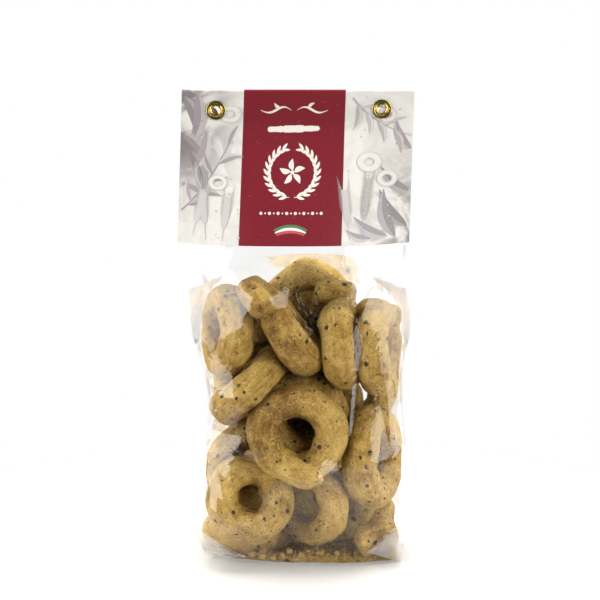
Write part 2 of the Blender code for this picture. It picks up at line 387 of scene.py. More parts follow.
def speck_group():
    """Specks of ground seed: cells of which a share holds one speck, with a ragged edge."""
    tree, start, end = new_group(
        "specks",
        [("Vector", "NodeSocketVector", None), ("Scale", "NodeSocketFloat", 0.3),
         ("Share", "NodeSocketFloat", 0.4), ("Size", "NodeSocketFloat", 0.2)],
        [("Mask", "NodeSocketFloat", None)])
    rough = add_node(
        tree, "ShaderNodeTexNoise", Vector=start.outputs["Vector"], Scale=1.3, Detail=2.0)
    shift = add_node(
        tree, "ShaderNodeVectorMath", {"operation": "MULTIPLY_ADD"},
        _0=rough.outputs["Color"], _1=(1.5, 1.5, 1.5), _2=start.outputs["Vector"])
    cell = add_node(
        tree, "ShaderNodeTexVoronoi", Vector=shift.outputs[0], Scale=start.outputs["Scale"])
    chance = add_node(tree, "ShaderNodeSeparateColor", Color=cell.outputs["Color"])
    kept = math(tree, "LESS_THAN", chance.outputs[0], start.outputs["Share"])
    reach = math(tree, "MULTIPLY_ADD", chance.outputs[1], 0.9)
    reach.node.inputs[2].default_value = 0.45
    reach = math(tree, "MULTIPLY", reach, start.outputs["Size"])
    inner = math(tree, "MULTIPLY", reach, 0.8)
    speck = add_node(
        tree, "ShaderNodeMapRange", Value=cell.outputs["Distance"], From_Min=reach,
        From_Max=inner)
    tree.links.new(math(tree, "MULTIPLY", speck.outputs[0], kept), end.inputs["Mask"])
    return tree


def dough_group():
    """Streaks along the rope, fine crackle, patches of coarse crumb grains, and pits."""
    tree, start, end = new_group(
        "dough_surface",
        [("Place", "NodeSocketVector", None), ("Rope", "NodeSocketVector", None)],
        [("Streak", "NodeSocketFloat", None), ("Fine", "NodeSocketFloat", None),
         ("Grain", "NodeSocketFloat", None), ("Grain Tone", "NodeSocketFloat", None),
         ("Pit", "NodeSocketFloat", None)])
    place, rope = start.outputs["Place"], start.outputs["Rope"]
    tree.links.new(noise_value(tree, rope, 0.85, 3, 0.6), end.inputs["Streak"])
    crackle = noise_value(tree, place, 1.0, 5, 0.72)
    tree.links.new(ramp_value(tree, crackle, 0.3, 0.7), end.inputs["Fine"])
    patch = ramp_value(tree, noise_value(tree, place, 0.1, 2), 0.45, 0.62)
    grain = add_node(tree, "ShaderNodeTexVoronoi", Vector=place, Scale=0.95)
    lump = ramp_value(tree, grain.outputs["Distance"], 0.75, 0.1)
    tree.links.new(math(tree, "MULTIPLY", lump, patch), end.inputs["Grain"])
    tint = add_node(tree, "ShaderNodeSeparateColor", Color=grain.outputs["Color"])
    tree.links.new(tint.outputs[1], end.inputs["Grain Tone"])
    hole = add_node(tree, "ShaderNodeTexVoronoi", Vector=place, Scale=0.42)
    rare = add_node(tree, "ShaderNodeSeparateColor", Color=hole.outputs["Color"])
    pit = ramp_value(tree, hole.outputs["Distance"], 0.2, 0.06)
    pit = math(tree, "MULTIPLY", pit, math(tree, "LESS_THAN", rare.outputs[0], 0.5))
    tree.links.new(pit, end.inputs["Pit"])
    return tree


def crust_material(specks, dough):
    """Baked dough: tan crust, paler streaks, golden crumb, brown pits, dark seed specks and painted
    shade.
    """
    made, tree, shader = new_material("baked_dough", Specular_IOR_Level=0.3)
    place = millimetres(tree)
    rope = add_node(tree, "ShaderNodeAttribute", {"attribute_name": "rope"}).outputs["Vector"]
    toast_and_shade = add_node(tree, "ShaderNodeAttribute", {"attribute_name": "toast_and_shade"}).outputs["Fac"]
    surface = use_group(tree, dough, Place=place, Rope=rope)
    tone = math(tree, "MULTIPLY", noise_value(tree, place, 0.08, 2, 0.5), 0.66)
    mottle = ramp_value(tree, noise_value(tree, place, 0.3, 3, 0.55), 0.3, 0.7)
    tone = math(tree, "ADD", tone, math(tree, "MULTIPLY", mottle, 0.15))
    tone = math(tree, "ADD", tone, math(tree, "MULTIPLY", surface.outputs["Streak"], 0.42))
    tone = math(tree, "ADD", tone, math(tree, "MULTIPLY", surface.outputs["Fine"], 0.2))
    # The stored darkness takes the tone down: browning, and painted shade in holes, dents and shaded
    # sides
    tone = math(tree, "SUBTRACT", tone, toast_and_shade)
    ramp = add_node(tree, "ShaderNodeValToRGB", Fac=tone)
    stops = (
        (0.33, colour(0.160, 0.076, 0.012)),
        (0.50, colour(0.320, 0.180, 0.032)),
        (0.65, colour(0.460, 0.290, 0.066)),
        (0.88, colour(0.640, 0.440, 0.140)),
    )
    while len(ramp.color_ramp.elements) < len(stops):
        ramp.color_ramp.elements.new(0.5)
    for element, (place_on_ramp, shade) in zip(ramp.color_ramp.elements, stops):
        element.position = place_on_ramp
        element.color = shade
    base = ramp.outputs["Color"]
    gold = mix_colour(
        tree, surface.outputs["Grain Tone"], colour(0.28, 0.15, 0.028), colour(0.76, 0.56, 0.19))
    share = math(tree, "MULTIPLY", surface.outputs["Grain"], 0.65)
    base = mix_colour(tree, share, base, gold)
    pits = math(tree, "MULTIPLY", surface.outputs["Pit"], 0.6)
    base = mix_colour(tree, pits, base, colour(0.085, 0.038, 0.010))
    big = use_group(tree, specks, Vector=place, Scale=0.2, Share=0.55, Size=0.225)
    small = use_group(tree, specks, Vector=place, Scale=0.42, Share=0.4, Size=0.235)
    dots = use_group(tree, specks, Vector=place, Scale=0.85, Share=0.45, Size=0.26)
    base = mix_colour(
        tree, math(tree, "MULTIPLY", dots.outputs[0], 0.7), base, colour(0.06, 0.032, 0.014))
    seeds = math(tree, "MAXIMUM", big.outputs[0], math(tree, "MULTIPLY", small.outputs[0], 0.85))
    base = mix_colour(tree, math(tree, "MULTIPLY", seeds, 0.94), base, colour(0.010, 0.010, 0.015))
    tree.links.new(base, shader.inputs["Base Color"])
    rough = math(tree, "MULTIPLY_ADD", surface.outputs["Fine"], 0.3)
    rough.node.inputs[2].default_value = 0.4
    tree.links.new(rough, shader.inputs["Roughness"])
    height = math(tree, "MULTIPLY", surface.outputs["Streak"], 0.4)
    height = math(tree, "ADD", height, math(tree, "MULTIPLY", surface.outputs["Fine"], 0.5))
    height = math(tree, "ADD", height, math(tree, "MULTIPLY", surface.outputs["Grain"], 0.45))
    height = math(tree, "SUBTRACT", height, math(tree, "MULTIPLY", surface.outputs["Pit"], 0.6))
    height = math(tree, "ADD", height, math(tree, "MULTIPLY", seeds, 0.18))
    bump(tree, height, 0.75, shader)
    return made


# Where the rings lie
def rotation(turn, lean, tilt):
    t, l, a = np.radians([turn, lean, tilt])
    about_z = np.array([[np.cos(t), -np.sin(t), 0], [np.sin(t), np.cos(t), 0], [0, 0, 1]])
    about_y = np.array([[np.cos(l), 0, np.sin(l)], [0, 1, 0], [-np.sin(l), 0, np.cos(l)]])
    about_x = np.array([[1, 0, 0], [0, np.cos(a), -np.sin(a)], [0, np.sin(a), np.cos(a)]])
    return about_x @ about_y @ about_z


def turned(matrix, spin):
    """A rotation matrix turned by a small rotation vector."""
    angle = np.linalg.norm(spin)
    if angle < 1e-9:
        return matrix
    x, y, z = spin / angle
    cross = np.array([[0, -z, y], [z, 0, -x], [-y, x, 0]])
    return (np.eye(3) + np.sin(angle) * cross + (1 - np.cos(angle)) * cross @ cross) @ matrix


def circle_points(centres, turns, radii, count):
    angle = np.linspace(0, 2 * np.pi, count, endpoint=False)
    flat = np.stack([np.cos(angle), 0 * angle, np.sin(angle)], 1)
    return centres[:, None] + np.einsum("nij,nkj->nki", turns, flat[None] * radii[:, None, None])


def settle(steps=400):
    """Push the rings apart, and in from the walls of the bag, from where the table puts them."""
    rows = np.array(list(RINGS.values()), float)
    centres = rows[:, :3].copy()
    start = centres.copy()
    turns = np.array([rotation(*row[3:6]) for row in rows])
    radii = rows[:, 6] / 2 - TUBE
    hold = np.array([HOLD if name in HELD else 1.0 for name in RINGS])
    owner = np.repeat(np.arange(len(rows)), BEADS)
    same = owner[:, None] == owner[None]
    for step in range(steps):
        p = circle_points(centres, turns, radii, BEADS).reshape(-1, 3)
        gap = p[:, None] - p[None]
        far = np.sqrt((gap ** 2).sum(-1)) + 1e-9
        over = np.clip(2 * TUBE - far, 0, None)
        over[same] = 0
        push = (gap / far[..., None] * over[..., None]).sum(1)
        push *= 0.5 / np.maximum((over > 0).sum(1), 1)[:, None]
        low = TUBE + WALL_CLEARANCE - np.interp(p[:, 2], OUTLINE_Z, LEFT_X)
        high = np.interp(p[:, 2], OUTLINE_Z, RIGHT_X) - TUBE - WALL_CLEARANCE
        wall = HALF_DEPTH - TUBE - FACE_CLEARANCE
        push[:, 0] += np.clip(low - p[:, 0], 0, None) - np.clip(p[:, 0] - high, 0, None)
        push[:, 1] += np.clip(-wall - p[:, 1], 0, None) - np.clip(p[:, 1] - wall, 0, None)
        push[:, 2] += np.clip(TUBE + WALL_CLEARANCE - p[:, 2], 0, None)
        push[:, 2] -= np.clip(p[:, 2] + TUBE - RING_TOP, 0, None)
        back = PULL_BACK * (FULL_PULL - hold) * max(0.0, 1 - step / (steps * PULL_ENDS))
        centres += (start - centres) * back[:, None]
        for i in range(len(rows)):
            mine = slice(i * BEADS, (i + 1) * BEADS)
            force = push[mine]
            hit = (np.linalg.norm(force, axis=1) > 1e-6).sum()
            if hit == 0:
                continue
            torque = np.cross(p[mine] - centres[i], force).sum(0)
            centres[i] += hold[i] * force.sum(0) / max(hit, 3)
            turns[i] = turned(turns[i], hold[i] ** 2 * 0.5 * torque / (hit * radii[i] ** 2))
    return centres, turns


# The rings
def wave(value, seed, *periods):
    """A sum of sines with seeded phases, between about -1 and 1."""
    draw = np.random.default_rng(seed)
    total = sum(np.sin(value * period + draw.uniform(0, 2 * np.pi)) for period in periods)
    return total / len(periods)


def rope_mesh(width, joint, seed, sections=150, around=30):
    """A rope of dough bent into a ring in its own XZ plane, its ends laid over each other."""
    joint_angle, overlap, spread, beside, tube = joint
    radius = width / 2 - tube
    extra = overlap / radius
    length = radius * (2 * np.pi + extra)
    s = np.linspace(0, 1, sections)
    angle = np.radians(joint_angle) - extra / 2 + s * (2 * np.pi + extra)
    from_start = s * length
    from_end = length - from_start
    reach = abs(overlap)
    near_start = 1 - smooth(from_start, reach * 0.4, reach * 1.3)
    near_end = 1 - smooth(from_end, reach * 0.4, reach * 1.3)
    out = radius + UNEVEN * wave(angle, seed, 2, 3, 5) + spread * near_end - 0.45 * spread * near_start
    side = 0.7 * UNEVEN * wave(angle, seed + 1, 2, 3) + beside * (near_end - near_start) * 0.5
    from_tip = np.minimum(from_start, from_end)
    blunt = np.clip(1 - (1 - np.clip(from_tip / END_ROUNDING, 0, 1)) ** 3, 0, 1) ** 0.5
    thin = END_THICKNESS + (1 - END_THICKNESS) * smooth(from_tip, 2, reach * 1.2)
    thick = tube * (blunt * 0.985 + 0.015) * thin * (1 + 0.07 * wave(angle, seed + 2, 2, 4, 7))
    points = []
    theta = np.linspace(0, 2 * np.pi, around, endpoint=False)
    for a, r, y, t in zip(angle, out, side, thick):
        flat = 1 - 0.05 * np.cos(2 * theta) + 0.03 * np.cos(3 * theta + 1.7 * a + seed)
        away = r + t * flat * np.cos(theta)
        level = t * flat * np.sin(theta)
        level = y + np.where(level < -0.86 * t, -0.86 * t + 0.4 * (level + 0.86 * t), level)
        points += list(zip(away * np.cos(a), level, away * np.sin(a)))
    return points, tube_faces(sections, around), radius


def ring_relief(points, rope, seed):
    """Lumps, dents and streaks of a hand rolled rope, as a height for every point."""
    heights = np.zeros(len(points))
    shift = Vector((seed * 3.7, seed * 1.3, -seed * 2.1))
    for k, (place, along) in enumerate(zip(points.tolist(), rope.tolist())):
        here = Vector(place) + shift
        heights[k] = 0.34 * noise.noise(here * 0.16) + 0.16 * noise.noise(here * 0.42)
        heights[k] += 0.15 * noise.noise(Vector(along) * 0.55) + 0.07 * noise.noise(here * 1.0)
    draw = np.random.default_rng(seed + 50)
    for _ in range(16):
        spot = points[draw.integers(len(points))]
        reach = draw.uniform(0.9, 1.9)
        depth = draw.uniform(0.2, 0.5) * draw.choice([1, 1, -0.6])
        near = np.exp(-((points - spot) ** 2).sum(1) / reach ** 2)
        heights -= depth * near
    return heights


def store_rope(piece, rope, toast_and_shade):
    """Two attributes the crust reads: the place on the rope, and darkness from browning and painted
    shade.
    """
    stored = piece.data.attributes.new("rope", "FLOAT_VECTOR", "POINT")
    stored.data.foreach_set("vector", np.asarray(rope, np.float32).ravel())
    stored = piece.data.attributes.new("toast_and_shade", "FLOAT", "POINT")
    stored.data.foreach_set("value", np.asarray(toast_and_shade, np.float32))


def bake(piece, centre, turn, radius, joint_angle, tube, seed, brown=(0, 0)):
    """Fuse a rope of dough, give it its relief and its painted shade, and put it in its place in the bag.
    """
    remesh = piece.modifiers.new("fuse", "REMESH")
    remesh.mode = "VOXEL"
    remesh.voxel_size = VOXEL * MM
    remesh.use_smooth_shade = True
    soften = piece.modifiers.new("soften", "SMOOTH")
    soften.factor = 0.5
    soften.iterations = 2
    apply_modifiers(piece)
    mesh = piece.data
    count = len(mesh.vertices)
    own = np.empty(count * 3, np.float32)
    mesh.vertices.foreach_get("co", own)
    own = own.reshape(-1, 3).astype(float) / MM
    normals = np.empty(count * 3, np.float32)
    mesh.vertex_normals.foreach_get("vector", normals)
    normals = normals.reshape(-1, 3).astype(float)
    if radius:
        around = np.mod(np.arctan2(own[:, 2], own[:, 0]) - np.radians(joint_angle), 2 * np.pi)
        away = np.hypot(own[:, 0], own[:, 2]) - radius
        along = radius * around
    else:
        away, along = own[:, 2], own[:, 0]
    theta = np.arctan2(own[:, 1], away)
    rope = np.stack([tube * np.cos(theta), tube * np.sin(theta), 0.13 * along], 1)
    rope += seed * 7.1
    heights = ring_relief(own, rope, seed)
    own = own + normals * heights[:, None]
    world = centre + own @ turn.T
    mesh.vertices.foreach_set("co", (world * MM).astype(np.float32).ravel())
    mesh.update()
    draw = np.random.default_rng(seed + 90)
    # Painted shade in the hole, in dents, on a ring's shaded side and on broken pieces; painted light on
    # lumps
    inner = smooth(-away, 0, tube) if radius else 0
    toast_and_shade = PLAIN_TOAST + draw.uniform(-0.05, 0.05) + HOLE_SHADE * inner - RELIEF_SHADE * heights
    facing = np.cos(np.arctan2(own[:, 2], own[:, 0]) - np.radians(brown[0]))
    toast_and_shade += brown[1] * (0.4 + 0.6 * facing) if radius else BROKEN_SHADE
    store_rope(piece, rope, toast_and_shade)
    return world


def build_tarallo(name, centre, turn, width, seed, finish):
    joint = JOINTS.get(name, PLAIN_JOINT)
    points, faces, radius = rope_mesh(width, joint, seed)
    piece = mesh_piece("tarallo_" + name, points, faces, finish)
    # brown: the side of the ring that is given painted shade, and how much
    brown = SHADED_SIDES.get(name, (0, 0))
    return piece, bake(piece, centre, turn, radius, joint[0], joint[4], seed, brown)


def build_broken(name, start, end, tube, seed, finish, sections=30, around=24):
    """A broken length of rope between two places, with ragged ends."""
    start, end = np.array(start, float), np.array(end, float)
    ahead = (end - start) / np.linalg.norm(end - start)
    side = np.cross([0, 0, 1], ahead)
    side /= np.linalg.norm(side)
    turn = np.stack([ahead, side, np.cross(ahead, side)], 1)
    length = np.linalg.norm(end - start)
    theta = np.linspace(0, 2 * np.pi, around, endpoint=False)
    points = []
    for x in np.linspace(-length / 2, length / 2, sections):
        inset = length / 2 - abs(x)
        r = tube * (1 + 0.04 * np.sin(0.5 * x + seed)) * (0.72 + 0.28 * smooth(inset, 0, 2.2))
        sway = 1.2 * np.cos(np.pi * x / length)
        points += [(x, r * np.sin(a), r * np.cos(a) + sway) for a in theta]
    piece = mesh_piece("broken_" + name, points, tube_faces(sections, around, True), finish)
    return piece, bake(piece, (start + end) / 2, turn, 0, 0, tube, seed)


# The film
def card_shift(z):
    return np.interp(z, [CARD_BOTTOM, CARD_TOP], [CARD_BOTTOM_SHIFT, CARD_TOP_SHIFT])


def pressed_depth(x, z):
    """Depth of the bag where the card shapes it, from the middle plane."""
    across = np.clip(np.abs(x - card_shift(z)) / CARD_HALF_WIDTH, 0, 1)
    centre = np.interp(z, DEPTH_Z, CENTRE_DEPTH)
    crease = np.interp(z, DEPTH_Z, CREASE_DEPTH)
    return crease + (centre - crease) * (1 - across ** PANEL_ROUNDING)


def highest(grid_a, grid_b, points_a, points_b, heights):
    """For each grid point, the highest of the given points in its cell and the cells round it."""
    top = np.full(grid_a.shape, NO_RING)
    rows, columns = grid_a.shape
    k = np.clip(np.searchsorted(grid_b[:, 0], points_b), 1, rows - 1)
    lower = np.abs(points_b - grid_b[k - 1, 0]) < np.abs(points_b - grid_b[k, 0])
    k = k - lower
    left, right = grid_a[k, 0], grid_a[k, -1]
    i = np.rint((points_a - left) / (right - left) * (columns - 1)).astype(int)
    inside = (i >= 0) & (i < columns)
    np.maximum.at(top, (k[inside], i[inside]), heights[inside])
    wide = top.copy()
    for dk in (-1, 0, 1):
        for di in (-1, 0, 1):
            wide = np.maximum(wide, np.roll(np.roll(top, dk, 0), di, 1))
    return wide


def widened(sheet, times):
    """Each point raised to the highest of its neighbours, a number of times: stiff film spans dips."""
    for _ in range(times):
        wide = sheet.copy()
        for axis in (0, 1):
            for shift in (-1, 1):
                wide = np.maximum(wide, np.roll(sheet, shift, axis))
        sheet = wide
    return sheet


def relaxed(sheet):
    """Each point moved to the mean of its four neighbours, the edges kept."""
    mean = sheet.copy()
    mean[1:-1, 1:-1] = (sheet[:-2, 1:-1] + sheet[2:, 1:-1] + sheet[1:-1, :-2] + sheet[1:-1, 2:]) / 4
    return mean


def drape(base, obstacle, touched, free, suction, steps):
    """A sheet held at its edges and drawn in by suction until it rests on what lies behind it.

    It first rests on the obstacle, which spans dips, then is smoothed on the touched surface, and
    at the end is eased without either.
    """
    sheet = base.copy()
    for _ in range(steps):
        sheet = np.where(free, np.maximum(relaxed(sheet) - suction, obstacle), base)
    for _ in range(FILM_SMOOTHING):
        sheet = np.where(free, np.maximum(relaxed(sheet), touched), base)
    for _ in range(FILM_EASING):
        sheet = np.where(free, relaxed(sheet), base)
    return sheet


def creases(a, b, lines):
    """Ridges of the film along straight lines: each is two ends, a height and a width."""
    total = np.zeros(a.shape)
    for (a0, b0), (a1, b1), height, width in lines:
        da, db = a1 - a0, b1 - b0
        length = np.hypot(da, db)
        t = ((a - a0) * da + (b - b0) * db) / length ** 2
        off = ((a - a0) * db - (b - b0) * da) / length
        ends = smooth(t, 0, 0.25) * (1 - smooth(t, 0.75, 1))
        total += height * ends * np.exp(-((off / width) ** 2))
    return total


# Creases of the front panel, and the same mirrored for the back
FRONT_CREASES = [
    ((-52, 158), (-33, 118), 0.5, 1.6),
    ((-40, 160), (-46, 128), -0.6, 1.8),
    ((50, 158), (30, 124), 0.5, 1.6),
    ((38, 160), (47, 126), -0.6, 1.8),
    ((-20, 159), (-4, 136), 0.35, 2.2),
    ((24, 159), (8, 138), 0.35, 2.2),
    ((29, 112), (25, 62), 0.45, 1.3),
    ((-44, 60), (-24, 14), 0.5, 1.4),
    ((-48, 34), (-22, 5), -0.7, 1.6),
    ((52, 30), (34, 4), -0.7, 1.6),
    ((44, 96), (50, 40), 0.45, 1.5),
    ((-46, 110), (-38, 70), 0.45, 1.5),
    ((14, 30), (36, 6), 0.4, 1.5),
    ((-10, 24), (-30, 4), 0.4, 1.5),
]
BACK_CREASES = [((-a, b), (-c, d), *size) for (a, b), (c, d), *size in FRONT_CREASES]


def film_shape(contents):
    """The front, back, left and right panels of the film, drawn over the rings."""
    levels = np.concatenate([
        np.linspace(0, BOTTOM_TOP, BOTTOM_LEVELS)[:-1],
        np.arange(BOTTOM_TOP, FREE_TOP, LEVEL_STEP),
        np.linspace(FREE_TOP, FILM_TOP, PRESSED_LEVELS)])
    u = np.linspace(-1, 1, PANEL_COLUMNS)
    t = np.linspace(-1, 1, SIDE_COLUMNS)
    fold = np.interp(levels, FOLD_Z, FOLD_IN)
    bow = SIDE_BOW * np.interp(levels, BOW_Z, BOW_SHARE)
    left = -np.interp(levels, OUTLINE_Z, LEFT_X) + bow
    right = np.interp(levels, OUTLINE_Z, RIGHT_X) - bow
    uu, zz = np.meshgrid(u, levels)
    xx = left[:, None] + (right - left)[:, None] * (uu + 1) / 2
    centre = np.interp(zz, DEPTH_Z, CENTRE_DEPTH)
    crease = np.interp(zz, DEPTH_Z, CREASE_DEPTH)
    base = crease + (centre - crease) * (1 - np.abs(uu) ** PANEL_ROUNDING)
    base = base - TUCK_DEPTH * np.clip(-uu, 0, 1) ** 1.5 * np.clip(1 - zz / TUCK_HEIGHT, 0, 1)
    blend = np.clip((zz - PRESS_START) / (FREE_TOP - PRESS_START), 0, 1)
    base = base + (pressed_depth(xx, zz) - base) * blend
    free = (zz > HELD_BELOW) & (zz < FREE_TOP) & (np.abs(uu) < PANEL_INSIDE)
    panels = {}
    for name, side, lines in (("front", -1, FRONT_CREASES), ("back", 1, BACK_CREASES)):
        reach = highest(xx, zz, contents[:, 0], contents[:, 2], side * contents[:, 1]) + FILM_GAP
        reach = np.where(zz < CONTACT_TOP, reach, NO_RING)
        depth = drape(base, widened(reach, FILM_STIFFNESS), reach, free, SUCTION, DRAPE_STEPS)
        depth = depth + np.where(free, creases(xx, zz, lines), 0)
        panels[name] = (xx, side * depth, zz)
    for name, sign, edge in (("left", -1, left), ("right", 1, right)):
        end = 0 if sign < 0 else -1
        start_y, stop_y = panels["front"][1][:, end], panels["back"][1][:, end]
        tt, levels_t = np.meshgrid(t, levels)
        yy = start_y[:, None] + (stop_y - start_y)[:, None] * (tt + 1) / 2
        rest = sign * edge[:, None] + bow[:, None] * (1 - tt ** 2) - fold[:, None] * (1 - np.abs(tt))
        reach = highest(yy, levels_t, contents[:, 1], contents[:, 2], sign * contents[:, 0]) + FILM_GAP
        free = (levels_t > HELD_BELOW) & (levels_t < SIDE_FREE_TOP) & (np.abs(tt) < PANEL_INSIDE)
        reach = np.where(levels_t < SIDE_CONTACT_TOP, reach, NO_RING)
        out = drape(rest, reach, reach, free, SIDE_SUCTION, SIDE_DRAPE_STEPS)
        out = np.where(levels_t < FOLD_Z[0], np.maximum(out, rest), out)
        panels[name] = (sign * out, yy, levels_t)
    return panels


def build_film(contents, finish):
    """The film as one closed mesh: its four panels joined, with a flat bottom and a closed top."""
    panels = film_shape(contents)
    points, faces = [], []
    for name, (x, y, z) in panels.items():
        first = len(points)
        points += list(zip(x.ravel(), y.ravel(), z.ravel()))
        faces += grid_faces(*x.shape, first, flip=name in ("back", "left"))
    piece = mesh_piece("film", points, faces, finish)
    body = bmesh.new()
    body.from_mesh(piece.data)
    bmesh.ops.remove_doubles(body, verts=body.verts, dist=WELD * MM)
    rims = [edge for edge in body.edges if edge.is_boundary]
    low = [edge for edge in rims if edge.verts[0].co.z < BOTTOM_TOP * MM]
    high = [edge for edge in rims if edge.verts[0].co.z > BOTTOM_TOP * MM]
    for rim in (low, high):
        bmesh.ops.triangle_fill(body, use_beauty=True, edges=rim)
    bmesh.ops.recalc_face_normals(body, faces=body.faces)
    body.to_mesh(piece.data)
    body.free()
    piece.data.shade_smooth()
    piece.data.set_sharp_from_angle(angle=np.radians(FILM_SHARP_ANGLE))
    piece.visible_shadow = False
    return piece, panels


def film_wrinkle_group():
    """Slack film: wide soft waves, a few creases, and thin patches of haze."""
    tree, start, end = new_group(
        "film_wrinkles",
        [("Place", "NodeSocketVector", None), ("Crease Share", "NodeSocketFloat", 0.1)],
        [("Height", "NodeSocketFloat", None), ("Haze", "NodeSocketFloat", None)])
    place = start.outputs["Place"]
    upright = add_node(
        tree, "ShaderNodeVectorMath", {"operation": "MULTIPLY"}, _0=place, _1=(1.0, 1.0, 0.45))
    wide = noise_value(tree, upright.outputs[0], 0.05, 2, 0.45)
    folds = noise_value(tree, place, 0.06, 2, 0.6, 1.4)
    ridge = math(tree, "ABSOLUTE", math(tree, "SUBTRACT", folds, 0.5))
    ridge = ramp_value(tree, ridge, 0.045, 0.0)
    ridge = math(tree, "MULTIPLY", ridge, start.outputs["Crease Share"])
    height = math(tree, "ADD", wide, ridge)
    height = math(tree, "ADD", height, math(tree, "MULTIPLY", noise_value(tree, place, 0.4, 2), 0.018))
    tree.links.new(height, end.inputs["Height"])
    cloud = ramp_value(tree, noise_value(tree, place, 0.06, 3), 0.45, 0.75)
    haze = math(tree, "ADD", math(tree, "MULTIPLY", cloud, 0.02), math(tree, "MULTIPLY", ridge, 0.08))
    tree.links.new(haze, end.inputs["Haze"])
    return tree


def film_material(name, wrinkles, least, gain, slant_gain, most, roughness, crease_share):
    """Clear film: see-through, mirroring the lamps more at a slant, a little hazy."""
    made, tree, shader = new_material(
        name, Base_Color=colour(1, 1, 1), Metallic=1.0, Roughness=roughness)
    surface = use_group(tree, wrinkles, Place=millimetres(tree), Crease_Share=crease_share)
    bend = bump(tree, surface.outputs["Height"], WAVE_HEIGHT, shader, 1.0)
    mirror = add_node(tree, "ShaderNodeFresnel", IOR=1.45, Normal=bend.outputs[0]).outputs[0]
    share = math(tree, "MULTIPLY", mirror, gain)
    slant = add_node(tree, "ShaderNodeLayerWeight", Blend=0.5, Normal=bend.outputs[0]).outputs["Facing"]
    share = math(tree, "ADD", share, math(tree, "MULTIPLY", slant, slant_gain))
    share = math(tree, "MINIMUM", share, most)
    share = math(tree, "ADD", share, surface.outputs["Haze"])
    share = math(tree, "ADD", share, least, clamp=True)
    tree.links.new(share, shader.inputs["Alpha"])
    return made


# The card
def card_point(across, z, side, lift):
    """A point on the outer face of the card: side is -1 on the front and 1 on the back."""
    x = across + card_shift(z)
    depth = pressed_depth(x, z) + CARD_GAP + CARD_THICKNESS + lift
    return x, side * depth, z


def build_card(print_finish, stock_finish):
    """The folded card: a sheet from its front lower edge over the fold to its back, with two holes."""
    shoulder = np.linspace(CARD_BOTTOM, SHOULDER_TOP, SHOULDER_ROWS)
    heights = np.concatenate([shoulder, np.linspace(NECK_BOTTOM, NECK_TOP, NECK_ROWS)])
    across = np.linspace(-1, 1, CARD_COLUMNS)
    flat = np.ones(len(across))
    sheet = []
    for z in heights:
        x = across * CARD_HALF_WIDTH + card_shift(z)
        sheet.append((x, -pressed_depth(x, flat * z) - CARD_GAP, flat * z))
    crown = CARD_TOP - CARD_THICKNESS
    top = across * CARD_HALF_WIDTH + CARD_TOP_SHIFT
    fold = [(top, flat * y, flat * (crown + drop)) for y, drop in CARD_FOLD]
    sheet = sheet + fold + [(x, -y, z) for x, y, z in sheet[::-1]]
    points = [point for x, y, z in sheet for point in zip(x, y, z)]
    faces = grid_faces(len(sheet), len(across))
    piece = mesh_piece("header_card_sheet", points, faces, print_finish, stock_finish)
    layer = piece.data.uv_layers.new(name="print")
    n = len(across)
    spots = np.array([(loop.vertex_index % n, loop.vertex_index // n) for loop in piece.data.loops])
    uv = spots / np.array([n - 1, len(sheet) - 1])
    layer.data.foreach_set("uv", uv.astype(np.float32).ravel())
    thick = piece.modifiers.new("thickness", "SOLIDIFY")
    thick.thickness = CARD_THICKNESS * MM
    thick.offset = 1
    thick.material_offset = 1
    thick.material_offset_rim = 1
    apply_modifiers(piece)
    for x0, z0 in EYELETS.values():
        bpy.ops.mesh.primitive_cylinder_add(
            vertices=48, radius=EYELET_HOLE * MM, depth=20 * MM,
            location=(x0 * MM, 0, z0 * MM), rotation=(np.pi / 2, 0, 0))
        drill = bpy.context.object
        cut = piece.modifiers.new("bore", "BOOLEAN")
        cut.solver = "EXACT"
        cut.object = drill
        apply_modifiers(piece)
        bpy.data.objects.remove(drill, do_unlink=True)
    piece.data.set_sharp_from_angle(angle=np.radians(CARD_SHARP_ANGLE))
    return piece


def paper_group():
    """Paper fibre under the print, and rubbed flecks where the ink has come off."""
    tree, start, end = new_group(
        "paper_fibre",
        [("Place", "NodeSocketVector", None)],
        [("Fibre", "NodeSocketFloat", None), ("Rub", "NodeSocketFloat", None)])
    place = start.outputs["Place"]
    weave = add_node(
        tree, "ShaderNodeVectorMath", {"operation": "MULTIPLY"}, _0=place, _1=(0.7, 1.0, 2.6))
    fibre = noise_value(tree, weave.outputs[0], 1.4, 3, 0.6)
    tree.links.new(fibre, end.inputs["Fibre"])
    slant = add_node(
        tree, "ShaderNodeVectorMath", {"operation": "MULTIPLY"}, _0=place, _1=(0.25, 0.2, 0.9))
    rub = noise_value(tree, slant.outputs[0], 1.1, 4, 0.7)
    tree.links.new(ramp_value(tree, rub, 0.72, 0.82), end.inputs["Rub"])
    return tree


